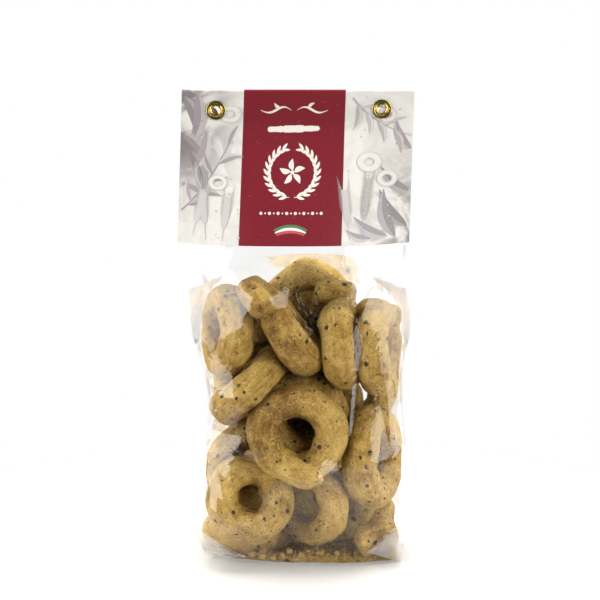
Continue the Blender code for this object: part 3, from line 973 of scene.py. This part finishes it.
def print_material(paper):
    """The printed face: a crimson band between two pale panels with soft grey washes."""
    made, tree, shader = new_material("printed_card", Specular_IOR_Level=0.35)
    place = millimetres(tree)
    uv = add_node(tree, "ShaderNodeUVMap", {"uv_map": "print"}).outputs[0]
    axes = add_node(tree, "ShaderNodeSeparateXYZ", Vector=uv)
    across = axes.outputs[0]
    surface = use_group(tree, paper, Place=place)
    left, right = ((edge / CARD_HALF_WIDTH + 1) / 2 for edge in BAND_EDGES)
    band = math(tree, "MULTIPLY", ramp_value(tree, across, left - 0.001, left + 0.001),
                ramp_value(tree, across, right + 0.001, right - 0.001))
    wash = noise_value(tree, place, 0.045, 4, 0.6, 1.2)
    wash = ramp_value(tree, wash, 0.36, 0.6)
    from_fold = math(tree, "ABSOLUTE", math(tree, "SUBTRACT", axes.outputs[1], 0.5))
    upper = ramp_value(tree, from_fold, 0.46, 0.12)
    lower = math(tree, "SUBTRACT", 1.0, upper)
    left_side = math(tree, "MULTIPLY", ramp_value(tree, across, 0.3, 0.0), upper)
    right_side = math(tree, "MULTIPLY", ramp_value(tree, across, 0.68, 1.0), lower)
    sides = math(tree, "ADD", left_side, math(tree, "MULTIPLY", right_side, 0.8))
    share = math(tree, "ADD", sides, 0.16)
    wash = math(tree, "MULTIPLY", wash, share, clamp=True)
    pale = mix_colour(tree, wash, colour(0.60, 0.58, 0.53), colour(0.18, 0.155, 0.155))
    red = mix_colour(
        tree, surface.outputs["Fibre"], colour(0.122, 0.0022, 0.008), colour(0.160, 0.0045, 0.0135))
    rubbed = math(tree, "MULTIPLY", surface.outputs["Rub"], 0.25)
    red = mix_colour(tree, rubbed, red, colour(0.45, 0.25, 0.25))
    base = mix_colour(tree, band, pale, red)
    tree.links.new(base, shader.inputs["Base Color"])
    rough = math(tree, "MULTIPLY_ADD", surface.outputs["Fibre"], 0.2)
    rough.node.inputs[2].default_value = 0.42
    tree.links.new(rough, shader.inputs["Roughness"])
    bump(tree, surface.outputs["Fibre"], 0.05, shader, 0.6)
    return made


def stock_material(paper):
    """The bare inside and cut edges of the card."""
    made, tree, shader = new_material("card_stock", Roughness=0.7)
    surface = use_group(tree, paper, Place=millimetres(tree))
    base = mix_colour(
        tree, surface.outputs["Fibre"], colour(0.56, 0.545, 0.51), colour(0.66, 0.64, 0.61))
    tree.links.new(base, shader.inputs["Base Color"])
    bump(tree, surface.outputs["Fibre"], 0.05, shader, 0.6)
    return made


def heading(angle):
    """The direction at an angle in radians, across and up."""
    return np.array([np.cos(angle), np.sin(angle)])


# Print: the edges it stays inside, how far lines and leaves lie off the card, the extra lift of each
# new leaf over the last, and the bend of a leaf
PRINT_EDGE = 56.9
PRINT_BOTTOM = 160.3
PRINT_TOP = 233.6
INK_LIFT = 0.04
LEAF_LIFT = 0.05
LAYER = 0.006
LEAF_BEND = 0.12

# Wheat: length and width of a grain, pairs of grains in an ear, and how grains and awns lean out
GRAIN_LENGTH = 3.4
GRAIN_WIDTH = 1.1
EAR_GRAINS = 9
GRAIN_LEAN = 27
AWN_LEAN = 14

# Sprigs: lift of the stem, angle of a leaf from the stem, and widths of leaves for their length
STEM_LIFT = 0.06
LEAF_SPREAD = 48
TWIG_LEAF_WIDTH = 0.26
CORNER_LEAF_WIDTH = 0.27

# Inks
CREAM = np.array([0.64, 0.60, 0.54])
GREY = np.array([0.30, 0.27, 0.27])
PALE_GREY = np.array([0.48, 0.45, 0.435])
DEEP_GREY = np.array([0.16, 0.14, 0.145])
GREEN = np.array([0.012, 0.145, 0.040])
WHITE = np.array([0.66, 0.64, 0.61])
RED = np.array([0.42, 0.026, 0.017])
SCRATCH = np.array([0.30, 0.10, 0.115])


class Print:
    """Flat printed shapes gathered into one mesh that lies on the card, each with its own ink."""

    def __init__(self, side):
        self.side = side
        self.points, self.faces, self.inks = [], [], []
        self.level = 0.0

    def grid(self, across, up, ink, lift=INK_LIFT):
        """A shape given as a grid of places: across from the card's centre line, and up."""
        rows, columns = across.shape
        kept = [
            (k, i) for k in range(rows - 1) for i in range(columns - 1)
            if np.abs(across[k:k + 2, i:i + 2]).max() < PRINT_EDGE
            and up[k:k + 2, i:i + 2].min() > PRINT_BOTTOM
            and up[k:k + 2, i:i + 2].max() < PRINT_TOP]
        if not kept:
            return
        first = len(self.points)
        x, y, z = card_point(-self.side * across, up, self.side, lift + self.level)
        self.points += list(zip(x.ravel(), y.ravel(), z.ravel()))
        for k, i in kept:
            a, b = first + k * columns + i, first + (k + 1) * columns + i
            self.faces.append((a, a + 1, b + 1, b))
        self.inks += [ink] * across.size

    def strip(self, left, right, ink, lift):
        """The shape between two paths."""
        paths = np.stack([left, right], 1)
        self.grid(paths[..., 0], paths[..., 1], ink, lift)

    def stroke(self, path, widths, ink, lift=INK_LIFT):
        """A line of varying width along a path."""
        along = np.gradient(path, axis=0)
        along /= np.linalg.norm(along, axis=1)[:, None] + 1e-9
        normal = np.stack([along[:, 1], -along[:, 0]], 1) * widths[:, None] / 2
        self.strip(path - normal, path + normal, ink, lift)

    def leaf(self, base, angle, length, width, dark, light):
        """A pointed leaf in two halves of different tone, with a rib between them."""
        self.level += LAYER
        t = np.linspace(0, 1, 13)
        a = np.radians(angle)
        side = np.array([-np.sin(a), np.cos(a)])
        rib = base + np.outer(t * length, heading(a))
        rib = rib + np.outer(np.sin(np.pi * t) * LEAF_BEND * length, side)
        half = width / 2 * np.sin(np.pi * t ** 0.8) ** 0.9
        for sign, ink in ((1, light), (-1, dark)):
            self.strip(rib, rib + np.outer(sign * half, side), ink, LEAF_LIFT)
        vein = 0.22 * np.sin(np.pi * np.clip(t + 0.04, 0, 1)) + 0.06
        self.stroke(rib, vein, dark * 0.8, LEAF_LIFT + 0.004)

    def ear(self, base, angle, length, ink):
        """An ear of wheat: pairs of grains up a stem, each with a fine awn."""
        self.level += LAYER
        a = np.radians(angle)
        stem = base + np.outer(np.linspace(0, length, 8), heading(a))
        self.stroke(stem, np.full(8, 0.35), ink, LEAF_LIFT)
        t = np.linspace(0, 1, 8)
        plump = GRAIN_WIDTH * np.sin(np.pi * (t * 0.93 + 0.05)) ** 0.8
        for k in range(EAR_GRAINS):
            foot = base + heading(a) * length * (0.3 + 0.66 * k / EAR_GRAINS)
            for sign in (-1, 1):
                out = heading(a + sign * np.radians(GRAIN_LEAN))
                self.stroke(foot + np.outer(t * GRAIN_LENGTH, out), plump, ink, LEAF_LIFT + 0.003)
                tip = foot + out * GRAIN_LENGTH * 0.9
                awn = heading(a + sign * np.radians(AWN_LEAN))
                hair = tip + np.outer(np.linspace(0, GRAIN_LENGTH * 2.1, 5), awn)
                self.stroke(hair, np.linspace(0.24, 0.08, 5), ink, LEAF_LIFT)

    def disc(self, centre, radius, ink, inner=0.0, squash=1.0, lift=INK_LIFT):
        angle = np.linspace(0, 2 * np.pi, 41)
        r = np.linspace(inner, radius, 4)
        rr, aa = np.meshgrid(r, angle)
        self.grid(centre[0] + rr * np.cos(aa), centre[1] + rr * np.sin(aa) * squash, ink, lift)

    def build(self, name, finish):
        piece = mesh_piece(name, self.points, self.faces, finish)
        store = piece.data.attributes.new("ink", "FLOAT_COLOR", "POINT")
        inks = np.array([(*ink, 1.0) for ink in self.inks], np.float32)
        store.data.foreach_set("color", inks.ravel())
        return piece


def sprig(sheet, path, leaf_length, ink_dark, ink_light, seed, count):
    """A curved twig with leaves on both sides."""
    draw = np.random.default_rng(seed)
    t = np.linspace(0, 1, 16)
    start, middle, end = (np.array(p, float) for p in path)
    curve = np.outer((1 - t) ** 2, start) + np.outer(2 * t * (1 - t), middle) + np.outer(t ** 2, end)
    sheet.stroke(curve, np.linspace(0.9, 0.35, 16), ink_dark * 0.9, STEM_LIFT)
    for k in range(count):
        i = int(2 + k * 12 / count)
        step = curve[i + 1] - curve[i]
        ahead = np.degrees(np.arctan2(step[1], step[0]))
        side = 1 if k % 2 else -1
        angle = ahead + side * (LEAF_SPREAD + draw.uniform(-8, 8))
        length = leaf_length * draw.uniform(0.8, 1.1)
        tone = draw.uniform(0.85, 1.15)
        width = length * TWIG_LEAF_WIDTH
        sheet.leaf(curve[i], angle, length, width, ink_dark * tone, ink_light * tone)
    step = curve[-1] - curve[-2]
    ahead = np.degrees(np.arctan2(step[1], step[0]))
    sheet.leaf(curve[-1], ahead, leaf_length, leaf_length * TWIG_LEAF_WIDTH, ink_dark, ink_light)


def wreath(sheet, centre, radius, ink):
    """Two branches of wheat that bend round to meet at the top."""
    t = np.linspace(0, 1, 8)
    for sign in (-1, 1):
        for k in range(11):
            a = np.radians(-78 + 14.2 * k)
            ahead = np.array([-sign * np.sin(a), np.cos(a)])
            out = np.array([sign * np.cos(a), np.sin(a)])
            foot = centre + radius * out
            for lean in (-0.5, 0.5):
                way = ahead + lean * out
                path = foot + np.outer(t * 3.9, way / np.linalg.norm(way))
                sheet.stroke(path, 1.35 * np.sin(np.pi * (t * 0.92 + 0.05)) ** 0.8, ink)
        arc = np.radians(np.linspace(-84, 66, 24))
        stem = centre + radius * np.stack([sign * np.cos(arc), np.sin(arc)], 1)
        sheet.stroke(stem, np.full(24, 0.32), ink, STEM_LIFT)


def flourish(sheet, middle, up, reach, ink):
    """A pair of curling strokes that mirror each other about the middle of the band."""
    t = np.linspace(0, 1, 30)
    curl = up + 1.7 * np.sin(2 * np.pi * t) * (1 - 0.4 * t)
    for sign in (-1, 1):
        swing = np.stack([middle + sign * (1.5 + reach * t), curl], 1)
        sheet.stroke(swing, 0.2 + 0.95 * np.sin(np.pi * t) ** 1.5, ink)
        bud = np.array([middle + sign * reach * 0.45, up + 0.9])
        sheet.leaf(bud, 90 - sign * 50, 4.2, 1.5, ink, ink)


# Leaves that grow in from the corners of the card: foot, angle, length and tone
CORNER_LEAVES = (
    ((-56, 232), -72, 24, 0.8), ((-49, 233), -98, 26, 1.0), ((-57, 214), -48, 20, 0.9),
    ((-52, 205), -75, 24, 0.7), ((-44, 215), -110, 22, 1.15), ((-57, 190), -30, 17, 1.1),
    ((56, 168), 128, 24, 0.75), ((50, 163), 105, 25, 0.9), ((57, 185), 140, 20, 0.85),
    ((46, 164), 150, 20, 1.1), ((57, 205), 118, 19, 1.1), ((38, 163), 160, 14, 1.2))

# Ears of wheat: foot, angle and length; printed rings: centre and radius
WHEAT_EARS = (
    ((-50, 164), 76, 22), ((-43, 162), 96, 25), ((-35, 162), 84, 21), ((33, 163), 84, 30),
    ((27.5, 163), 98, 24))
PRINTED_RINGS = (
    ((-33, 223), 5.6), ((-38, 190), 4.8), ((36, 200), 6.2), ((45, 192), 5.2), ((44, 223), 4.8))

# The heights of the parts on the band, the lowest and highest of the loose marks, and how many flecks
# and scratches there are
FLOURISH_Z = 225
BAR_Z = 215.6
WREATH_Z = 195.0
DOTS_Z = 175.6
ARC_CENTRE_Z = 152.3
MARKS_Z = (163, 232)
FLECK_COUNT = 60
SCRATCH_COUNT = 60


def print_panels(sheet, draw, seed):
    """The pale panels: leaves, two sprigs, wheat, small rings and flecks, in greys."""
    for foot, angle, length, tone in CORNER_LEAVES:
        width = length * CORNER_LEAF_WIDTH
        dark, light = DEEP_GREY * 1.5 * tone, GREY * 1.25 * tone
        sheet.leaf(np.array(foot, float), angle, length, width, dark, light)
    sprig(sheet, ((-56, 176), (-44, 186), (-34, 207)), 12, GREY * 0.9, PALE_GREY * 0.95, seed + 1, 7)
    sprig(sheet, ((27, 231), (36, 219), (55, 213)), 12, GREY * 1.3, PALE_GREY * 1.1, seed + 2, 7)
    for foot, angle, length in WHEAT_EARS:
        sheet.ear(np.array(foot, float), angle, length, PALE_GREY * draw.uniform(0.78, 1.05))
    for centre, radius in PRINTED_RINGS:
        sheet.level += LAYER
        sheet.disc(centre, radius, PALE_GREY * 1.05, 2.2, 0.8, 0.06)
        sheet.disc(centre, radius - 0.6, CREAM * 0.96, 2.8, 0.78, 0.064)
    for _ in range(FLECK_COUNT):
        spot = np.array([draw.uniform(26, 55) * draw.choice([-1, 1]), draw.uniform(*MARKS_Z)])
        sheet.disc(spot, draw.uniform(0.2, 0.7), PALE_GREY * draw.uniform(0.7, 1.1), 0.0, 0.7, 0.05)


def print_band(sheet, draw):
    """The band: a flourish, a ragged bar, five leaves in a wreath, dots, an arc, fine scratches."""
    middle = (BAND_EDGES[0] + BAND_EDGES[1]) / 2
    t = np.linspace(0, 1, 40)
    flourish(sheet, middle, FLOURISH_Z, 15, CREAM)
    ragged = 3.2 * np.sin(np.pi * t) ** 0.2 + 0.5 * draw.uniform(-1, 1, 40)
    sheet.stroke(np.stack([middle - 13 + 26 * t, BAR_Z + 0.5 * t], 1), ragged, CREAM)
    centre = np.array([middle, WREATH_Z])
    wreath(sheet, centre, 12.0, CREAM)
    for k in range(5):
        a = np.radians(90 + 72 * k)
        sheet.leaf(centre + heading(a), np.degrees(a), 5.6, 2.6, CREAM, CREAM)
    sheet.disc(centre, 1.0, CREAM)
    for k in range(-7, 8):
        sheet.disc((middle + 2.1 * k, DOTS_Z), 0.75 if k % 2 else 0.4, CREAM)
    arc = np.radians(np.linspace(118, 62, 24))
    taper = np.sin(np.linspace(0.12, 1, 24) * np.pi * 0.9) ** 0.7
    for radius, ink in ((17.2, GREEN), (15.9, WHITE), (14.6, RED)):
        path = np.stack([middle + radius * np.cos(arc), ARC_CENTRE_Z + radius * np.sin(arc)], 1)
        sheet.stroke(path, 1.35 * taper + 0.05, ink)
    for _ in range(SCRATCH_COUNT):
        across = draw.uniform(BAND_EDGES[0] + 2, BAND_EDGES[1] - 2)
        spot = np.array([across, draw.uniform(*MARKS_Z)])
        a = draw.uniform(0, np.pi)
        reach = np.linspace(-1, 1, 5) * draw.uniform(0.2, 1.0)
        path = spot + np.outer(reach, [np.cos(a), 0.6 * np.sin(a)])
        sheet.stroke(path, np.full(5, draw.uniform(0.05, 0.11)), SCRATCH, 0.03)


def print_design(sheet, seed):
    """The generic print of one face of the card."""
    draw = np.random.default_rng(seed)
    print_panels(sheet, draw, seed)
    sheet.level = 0.0
    print_band(sheet, draw)


def ink_material(paper):
    """Ink in the colour that each printed shape carries, a little worn along the paper's fibre."""
    made, tree, shader = new_material("print_ink", Specular_IOR_Level=0.3)
    ink = add_node(tree, "ShaderNodeAttribute", {"attribute_name": "ink"}).outputs["Color"]
    surface = use_group(tree, paper, Place=millimetres(tree))
    wear = math(tree, "MULTIPLY", surface.outputs["Fibre"], 0.22)
    worn = mix_colour(tree, wear, ink, colour(0.42, 0.38, 0.36))
    tree.links.new(worn, shader.inputs["Base Color"])
    rough = math(tree, "MULTIPLY_ADD", surface.outputs["Fibre"], 0.2)
    rough.node.inputs[2].default_value = 0.45
    tree.links.new(rough, shader.inputs["Roughness"])
    return made


# The eyelets
def build_eyelet(name, x0, z0, finish):
    """A turned grommet with a rounded washer, a groove and a rolled rim on each face."""
    face = CENTRE_DEPTH[-1] + CARD_GAP + CARD_THICKNESS + EYELET_LIFT
    washer = [
        (WASHER_MIDDLE + WASHER_WIDTH * np.cos(a), face + WASHER_HEIGHT + WASHER_HEIGHT * np.sin(a))
        for a in np.linspace(-0.5 * np.pi, 0.5 * np.pi, 7)]
    curl = [
        (CURL_MIDDLE + CURL_RADIUS * np.cos(a), face + CURL_HEIGHT + CURL_RADIUS * np.sin(a))
        for a in np.linspace(-0.15 * np.pi, 1.1 * np.pi, 13)]
    groove = [(r, face + rise) for r, rise in GROOVE]
    half = [(BARREL_OUTER, face)] + washer + groove + curl + [(EYELET_BORE, face - 0.2)]
    section = [(r, -d) for r, d in half] + [(r, d) for r, d in half[::-1]]
    points = []
    for angle in np.linspace(0, 2 * np.pi, EYELET_STEPS, endpoint=False):
        points += [(x0 + r * np.cos(angle), d, z0 + r * np.sin(angle)) for r, d in section]
    count = len(section)
    faces = []
    for k in range(EYELET_STEPS):
        for i in range(count):
            j = (i + 1) % count
            a, b = k * count, ((k + 1) % EYELET_STEPS) * count
            faces.append((a + i, b + i, b + j, a + j))
    piece = mesh_piece(name + "_turned", points, faces, finish)
    body = bmesh.new()
    body.from_mesh(piece.data)
    bmesh.ops.recalc_face_normals(body, faces=body.faces)
    body.to_mesh(piece.data)
    body.free()
    piece.data.set_sharp_from_angle(angle=np.radians(EYELET_SHARP_ANGLE))
    return piece


def brass_material():
    """Bright brass plate with brown tarnish in small patches."""
    made, tree, shader = new_material("brass_plate", Metallic=1.0)
    place = millimetres(tree)
    tarnish = noise_value(tree, place, 0.55, 4, 0.65)
    base = mix_colour(
        tree, ramp_value(tree, tarnish, 0.35, 0.7), colour(0.66, 0.50, 0.17), colour(0.36, 0.25, 0.07))
    tree.links.new(base, shader.inputs["Base Color"])
    rough = math(tree, "MULTIPLY_ADD", tarnish, 0.3)
    rough.node.inputs[2].default_value = 0.12
    tree.links.new(rough, shader.inputs["Roughness"])
    bump(tree, noise_value(tree, place, 3.0, 3), 0.03, shader, 0.5)
    return made


# Crumbs: the share of big ones, the sizes of the big and the small, how far they reach across and in
# depth, the share that is kept to the front and how far that reaches, and for the left and the right
# end where the bottom narrows and the share of its depth that is left there
BIG_CRUMBS = 0.05
BIG_SIZE = (1.1, 2.4)
SMALL_SIZE = (0.3, 0.9)
CRUMBS_ACROSS = (-42, 51)
CRUMBS_DEEP = (-20, 20)
FRONT_CRUMBS = 0.7
CRUMBS_IN_FRONT = (-20, -8)
NARROW_LEFT = (-22, 0.5)
NARROW_RIGHT = (40, 0.85)

# The bed of fine crumb: its mean depth, its grid, its gaps to the film at the sides and the faces
BED_DEPTH = 2.2
BED_COLUMNS = 190
BED_ROWS = 90
BED_SIDE_GAP = 1.2
BED_FACE_GAP = 0.6


def build_crumbs(finish, count=1500, seed=11):
    """Crumbs lying in the bottom of the bag, as one mesh of small uneven chips."""
    draw = np.random.default_rng(seed)
    points, faces = [], []
    ball = bmesh.new()
    bmesh.ops.create_icosphere(ball, subdivisions=1, radius=1.0)
    unit = np.array([v.co[:] for v in ball.verts])
    unit_faces = [[v.index for v in f.verts] for f in ball.faces]
    ball.free()
    for number in range(count):
        big = number < count * BIG_CRUMBS
        size = draw.uniform(*BIG_SIZE) if big else draw.uniform(*SMALL_SIZE)
        x = draw.uniform(*CRUMBS_ACROSS)
        reach = CRUMBS_IN_FRONT if draw.random() < FRONT_CRUMBS else CRUMBS_DEEP
        y = draw.uniform(*reach)
        if x < NARROW_LEFT[0]:
            y *= NARROW_LEFT[1]
        if x > NARROW_RIGHT[0]:
            y *= NARROW_RIGHT[1]
        shape = unit * size * draw.uniform(0.6, 1.1, (len(unit), 1)) * draw.uniform(0.6, 1.2, 3)
        first = len(points)
        rise = bed_height(x, y) * smooth(22 - abs(y), 0, 4)
        centre = np.array([x, y, 0.4 + rise + size * 0.5])
        points += [tuple(p) for p in centre + shape]
        faces += [[first + i for i in face] for face in unit_faces]
    piece = mesh_piece("crumbs", points, faces, finish)
    store_rope(piece, np.array(points) * 1.7, draw.uniform(-0.15, 0.12, len(points)))
    return piece


def bed_height(x, y):
    """Height of the fine crumb that fills the bottom of the bag."""
    swell = noise.noise(Vector((x * 0.07, y * 0.07, 3.1)))
    swell += 0.6 * noise.noise(Vector((x * 0.25, y * 0.25, 7.7)))
    return max(0.0, BED_DEPTH * (1 + 0.8 * swell))


def build_bed(finish, seed=5):
    """The bed of fine crumb under the rings: an uneven sheet that thins out at the film."""
    draw = np.random.default_rng(seed)
    size = (BED_ROWS, BED_COLUMNS)
    grain = draw.uniform(0, 1.1, size) * draw.uniform(0.3, 1, size)
    left, right = BED_SIDE_GAP - LEFT_X[0], RIGHT_X[0] - BED_SIDE_GAP
    points = []
    for k, v in enumerate(np.linspace(-1, 1, BED_ROWS)):
        for i, u in enumerate(np.linspace(-1, 1, BED_COLUMNS)):
            x = left + (right - left) * (u + 1) / 2
            depth = CREASE_DEPTH[0] + (CENTRE_DEPTH[0] - CREASE_DEPTH[0]) * (1 - abs(u) ** PANEL_ROUNDING)
            depth -= TUCK_DEPTH * max(0.0, -u) ** 1.5
            y = v * (depth - BED_FACE_GAP)
            edge = smooth(1 - abs(v), 0, 0.14) * smooth(1 - abs(u), 0, 0.05)
            points.append((x, y, 0.35 + (bed_height(x, y) + grain[k, i]) * (0.3 + 0.7 * edge)))
    piece = mesh_piece("crumb_bed", points, grid_faces(*size), finish)
    store_rope(piece, np.array(points) * 1.3, 0.16 + draw.uniform(-0.08, 0.1, len(points)))
    return piece


def build_ears(panels, finish):
    """The folded corners of the block bottom: a loose triangle of film at each lower front corner."""
    x, y, z = panels["front"]
    points, faces = [], []
    for corners in FOLDED_CORNERS:
        top, tip, foot = (np.array(c, float) for c in corners)
        first = len(points)
        for a in np.linspace(0, 1, EAR_POINTS):
            for b in np.linspace(0, 1, EAR_POINTS):
                flat = (1 - a) * (top + (foot - top) * b) + a * tip
                k = int(np.abs(z[:, 0] - flat[1]).argmin())
                depth = np.interp(flat[0], x[k], y[k])
                lift = 0.25 + 1.5 * np.sin(np.pi * b) * (1 - a) * a * 2 + 0.5 * a
                points.append((flat[0], depth - lift, max(flat[1], 0.3)))
        faces += grid_faces(EAR_POINTS, EAR_POINTS, first, flip=corners[0][0] > 0)
    piece = mesh_piece("film_ears", points, faces, finish)
    body = bmesh.new()
    body.from_mesh(piece.data)
    bmesh.ops.remove_doubles(body, verts=body.verts, dist=WELD * MM)
    body.to_mesh(piece.data)
    body.free()
    return piece


# Materials
specks = speck_group()
dough = dough_group()
wrinkles = film_wrinkle_group()
paper = paper_group()
crust = crust_material(specks, dough)
film_clear = film_material(
    "clear_film", wrinkles, least=0.006, gain=0.62, slant_gain=0.09, most=0.5, roughness=0.05,
    crease_share=0.05)
film_folded = film_material(
    "folded_film", wrinkles, least=0.16, gain=2.0, slant_gain=0.2, most=0.6, roughness=0.3,
    crease_share=0.4)
printed = print_material(paper)
stock = stock_material(paper)
ink = ink_material(paper)
brass = brass_material()

# Pieces
centres, turns = settle()
contents = []
for number, (name, (*_, width)) in enumerate(RINGS.items()):
    tarallo, world = build_tarallo(name, centres[number], turns[number], width, number + 1, crust)
    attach(tarallo, "root")
    contents.append(world)
for number, (name, (start, end, tube)) in enumerate(BROKEN.items()):
    broken, world = build_broken(name, start, end, tube, BROKEN_SEED + number, crust)
    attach(broken, "root")
    contents.append(world)
contents = np.concatenate(contents)

film, panels = build_film(contents, film_clear)
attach(film, "root")
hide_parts("bag")

ears = build_ears(panels, film_folded)
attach(ears, "root")

for crumbs in (build_crumbs(crust), build_bed(crust)):
    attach(crumbs, "root")

card = build_card(printed, stock)
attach(card, "root")
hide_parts("header_card")

for side, name, seed in ((-1, "card_print_front", 21), (1, "card_print_back", 41)):
    sheet = Print(side)
    print_design(sheet, seed)
    piece = sheet.build(name, ink)
    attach(piece, "root")

for name, (x0, z0) in EYELETS.items():
    eyelet = build_eyelet(name, x0, z0, brass)
    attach(eyelet, "root")
    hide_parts(name)


# Studio, in metres
FLOOR_RADIUS = 0.24
LAMP_AIM = (0, 0, 0.11)

# Lamps: azimuth and elevation in degrees, distance, width, height, brightness, and whether the lamp
# shows in reflections
LAMPS = {
    "left_softbox": (-67, 12, 1.5, 1.2, 1.5, 5.4, True),
    "right_softbox": (53, 12, 1.5, 1.2, 1.5, 5.2, True),
    "front_top_softbox": (0, 72, 1.2, 1.1, 0.9, 1.3, False),
    "back_top_softbox": (180, 77, 1.2, 0.9, 0.7, 15.5, False),
}


def build_floor():
    made = new_material(
        "pale_floor", Base_Color=colour(0.61, 0.60, 0.578), Roughness=0.5, Specular_IOR_Level=0.2)[0]
    bpy.ops.mesh.primitive_circle_add(vertices=96, radius=FLOOR_RADIUS, fill_type="NGON")
    floor = bpy.context.object
    floor.name = "floor"
    floor.data.materials.append(made)


def softbox(name, azimuth, elevation, distance, width, height, radiance, mirrored):
    """A lamp panel aimed at the bag: azimuth 0 is the camera's side, 90 the bag's right."""
    a, e = np.radians([azimuth, elevation])
    place = distance * np.array([np.sin(a) * np.cos(e), -np.cos(a) * np.cos(e), np.sin(e)])
    place += np.array(LAMP_AIM)
    lamp = bpy.data.lights.new(name, "AREA")
    lamp.shape = "RECTANGLE"
    lamp.size = width
    lamp.size_y = height
    lamp.energy = radiance * np.pi * width * height
    holder = bpy.data.objects.new(name, lamp)
    holder.location = place
    aim = Vector(LAMP_AIM) - Vector(place)
    holder.rotation_euler = aim.to_track_quat("-Z", "Y").to_euler()
    holder.visible_camera = False
    holder.visible_glossy = mirrored
    bpy.context.scene.collection.objects.link(holder)


def build_world():
    """White to the camera; as light and in reflections white behind the bag and dark in front of it."""
    world = bpy.data.worlds.new("studio")
    bpy.context.scene.world = world
    world.use_nodes = True
    tree = world.node_tree
    tree.nodes.clear()
    out = tree.nodes.new("ShaderNodeOutputWorld")
    direction = tree.nodes.new("ShaderNodeTexCoord").outputs["Generated"]
    axes = add_node(tree, "ShaderNodeSeparateXYZ", Vector=direction)
    away = math(tree, "MULTIPLY", axes.outputs[1], -1.0)
    dark = ramp_value(tree, away, 0.35, 0.8)
    room = mix_colour(tree, dark, colour(0.25, 0.25, 0.25), colour(0.02, 0.02, 0.02))
    behind = ramp_value(tree, axes.outputs[1], 0.0, 0.55)
    room = mix_colour(tree, behind, room, colour(1, 1, 1))
    camera_sees = tree.nodes.new("ShaderNodeLightPath").outputs["Is Camera Ray"]
    shown = mix_colour(tree, camera_sees, room, colour(1, 1, 1))
    back = add_node(tree, "ShaderNodeBackground", Color=shown, Strength=1.0)
    tree.links.new(back.outputs[0], out.inputs[0])


# The photograph: its size in pixels, the column of the bag's centre line, and its scale
PHOTO_SIZE = 600
CENTRE_COLUMN = 295.4
PIXELS_PER_MM = 2.0

# The camera: its distance from the bag and its aim in metres, its elevation in degrees
CAMERA_DISTANCE = 0.9
CAMERA_ELEVATION = 9.0
AIM_HEIGHT = 0.1304
SENSOR = 36.0


def build_camera():
    """The camera that sees the bag as the photograph does."""
    lens = bpy.data.cameras.new("camera")
    lens.sensor_width = SENSOR
    seen = PHOTO_SIZE / PIXELS_PER_MM * MM
    lens.lens = SENSOR * CAMERA_DISTANCE / seen
    camera = bpy.data.objects.new("camera", lens)
    e = np.radians(CAMERA_ELEVATION)
    aside = (PHOTO_SIZE / 2 - CENTRE_COLUMN) / PIXELS_PER_MM * MM
    camera.location = (
        aside, -CAMERA_DISTANCE * np.cos(e), AIM_HEIGHT + CAMERA_DISTANCE * np.sin(e))
    camera.rotation_euler = (np.pi / 2 - e, 0, 0)
    bpy.context.scene.collection.objects.link(camera)
    bpy.context.scene.camera = camera


build_floor()
for name, settings in LAMPS.items():
    softbox(name, *settings)
build_world()
build_camera()
scene = bpy.context.scene
scene.view_settings.view_transform = "Standard"
scene.cycles.transparent_max_bounces = 24
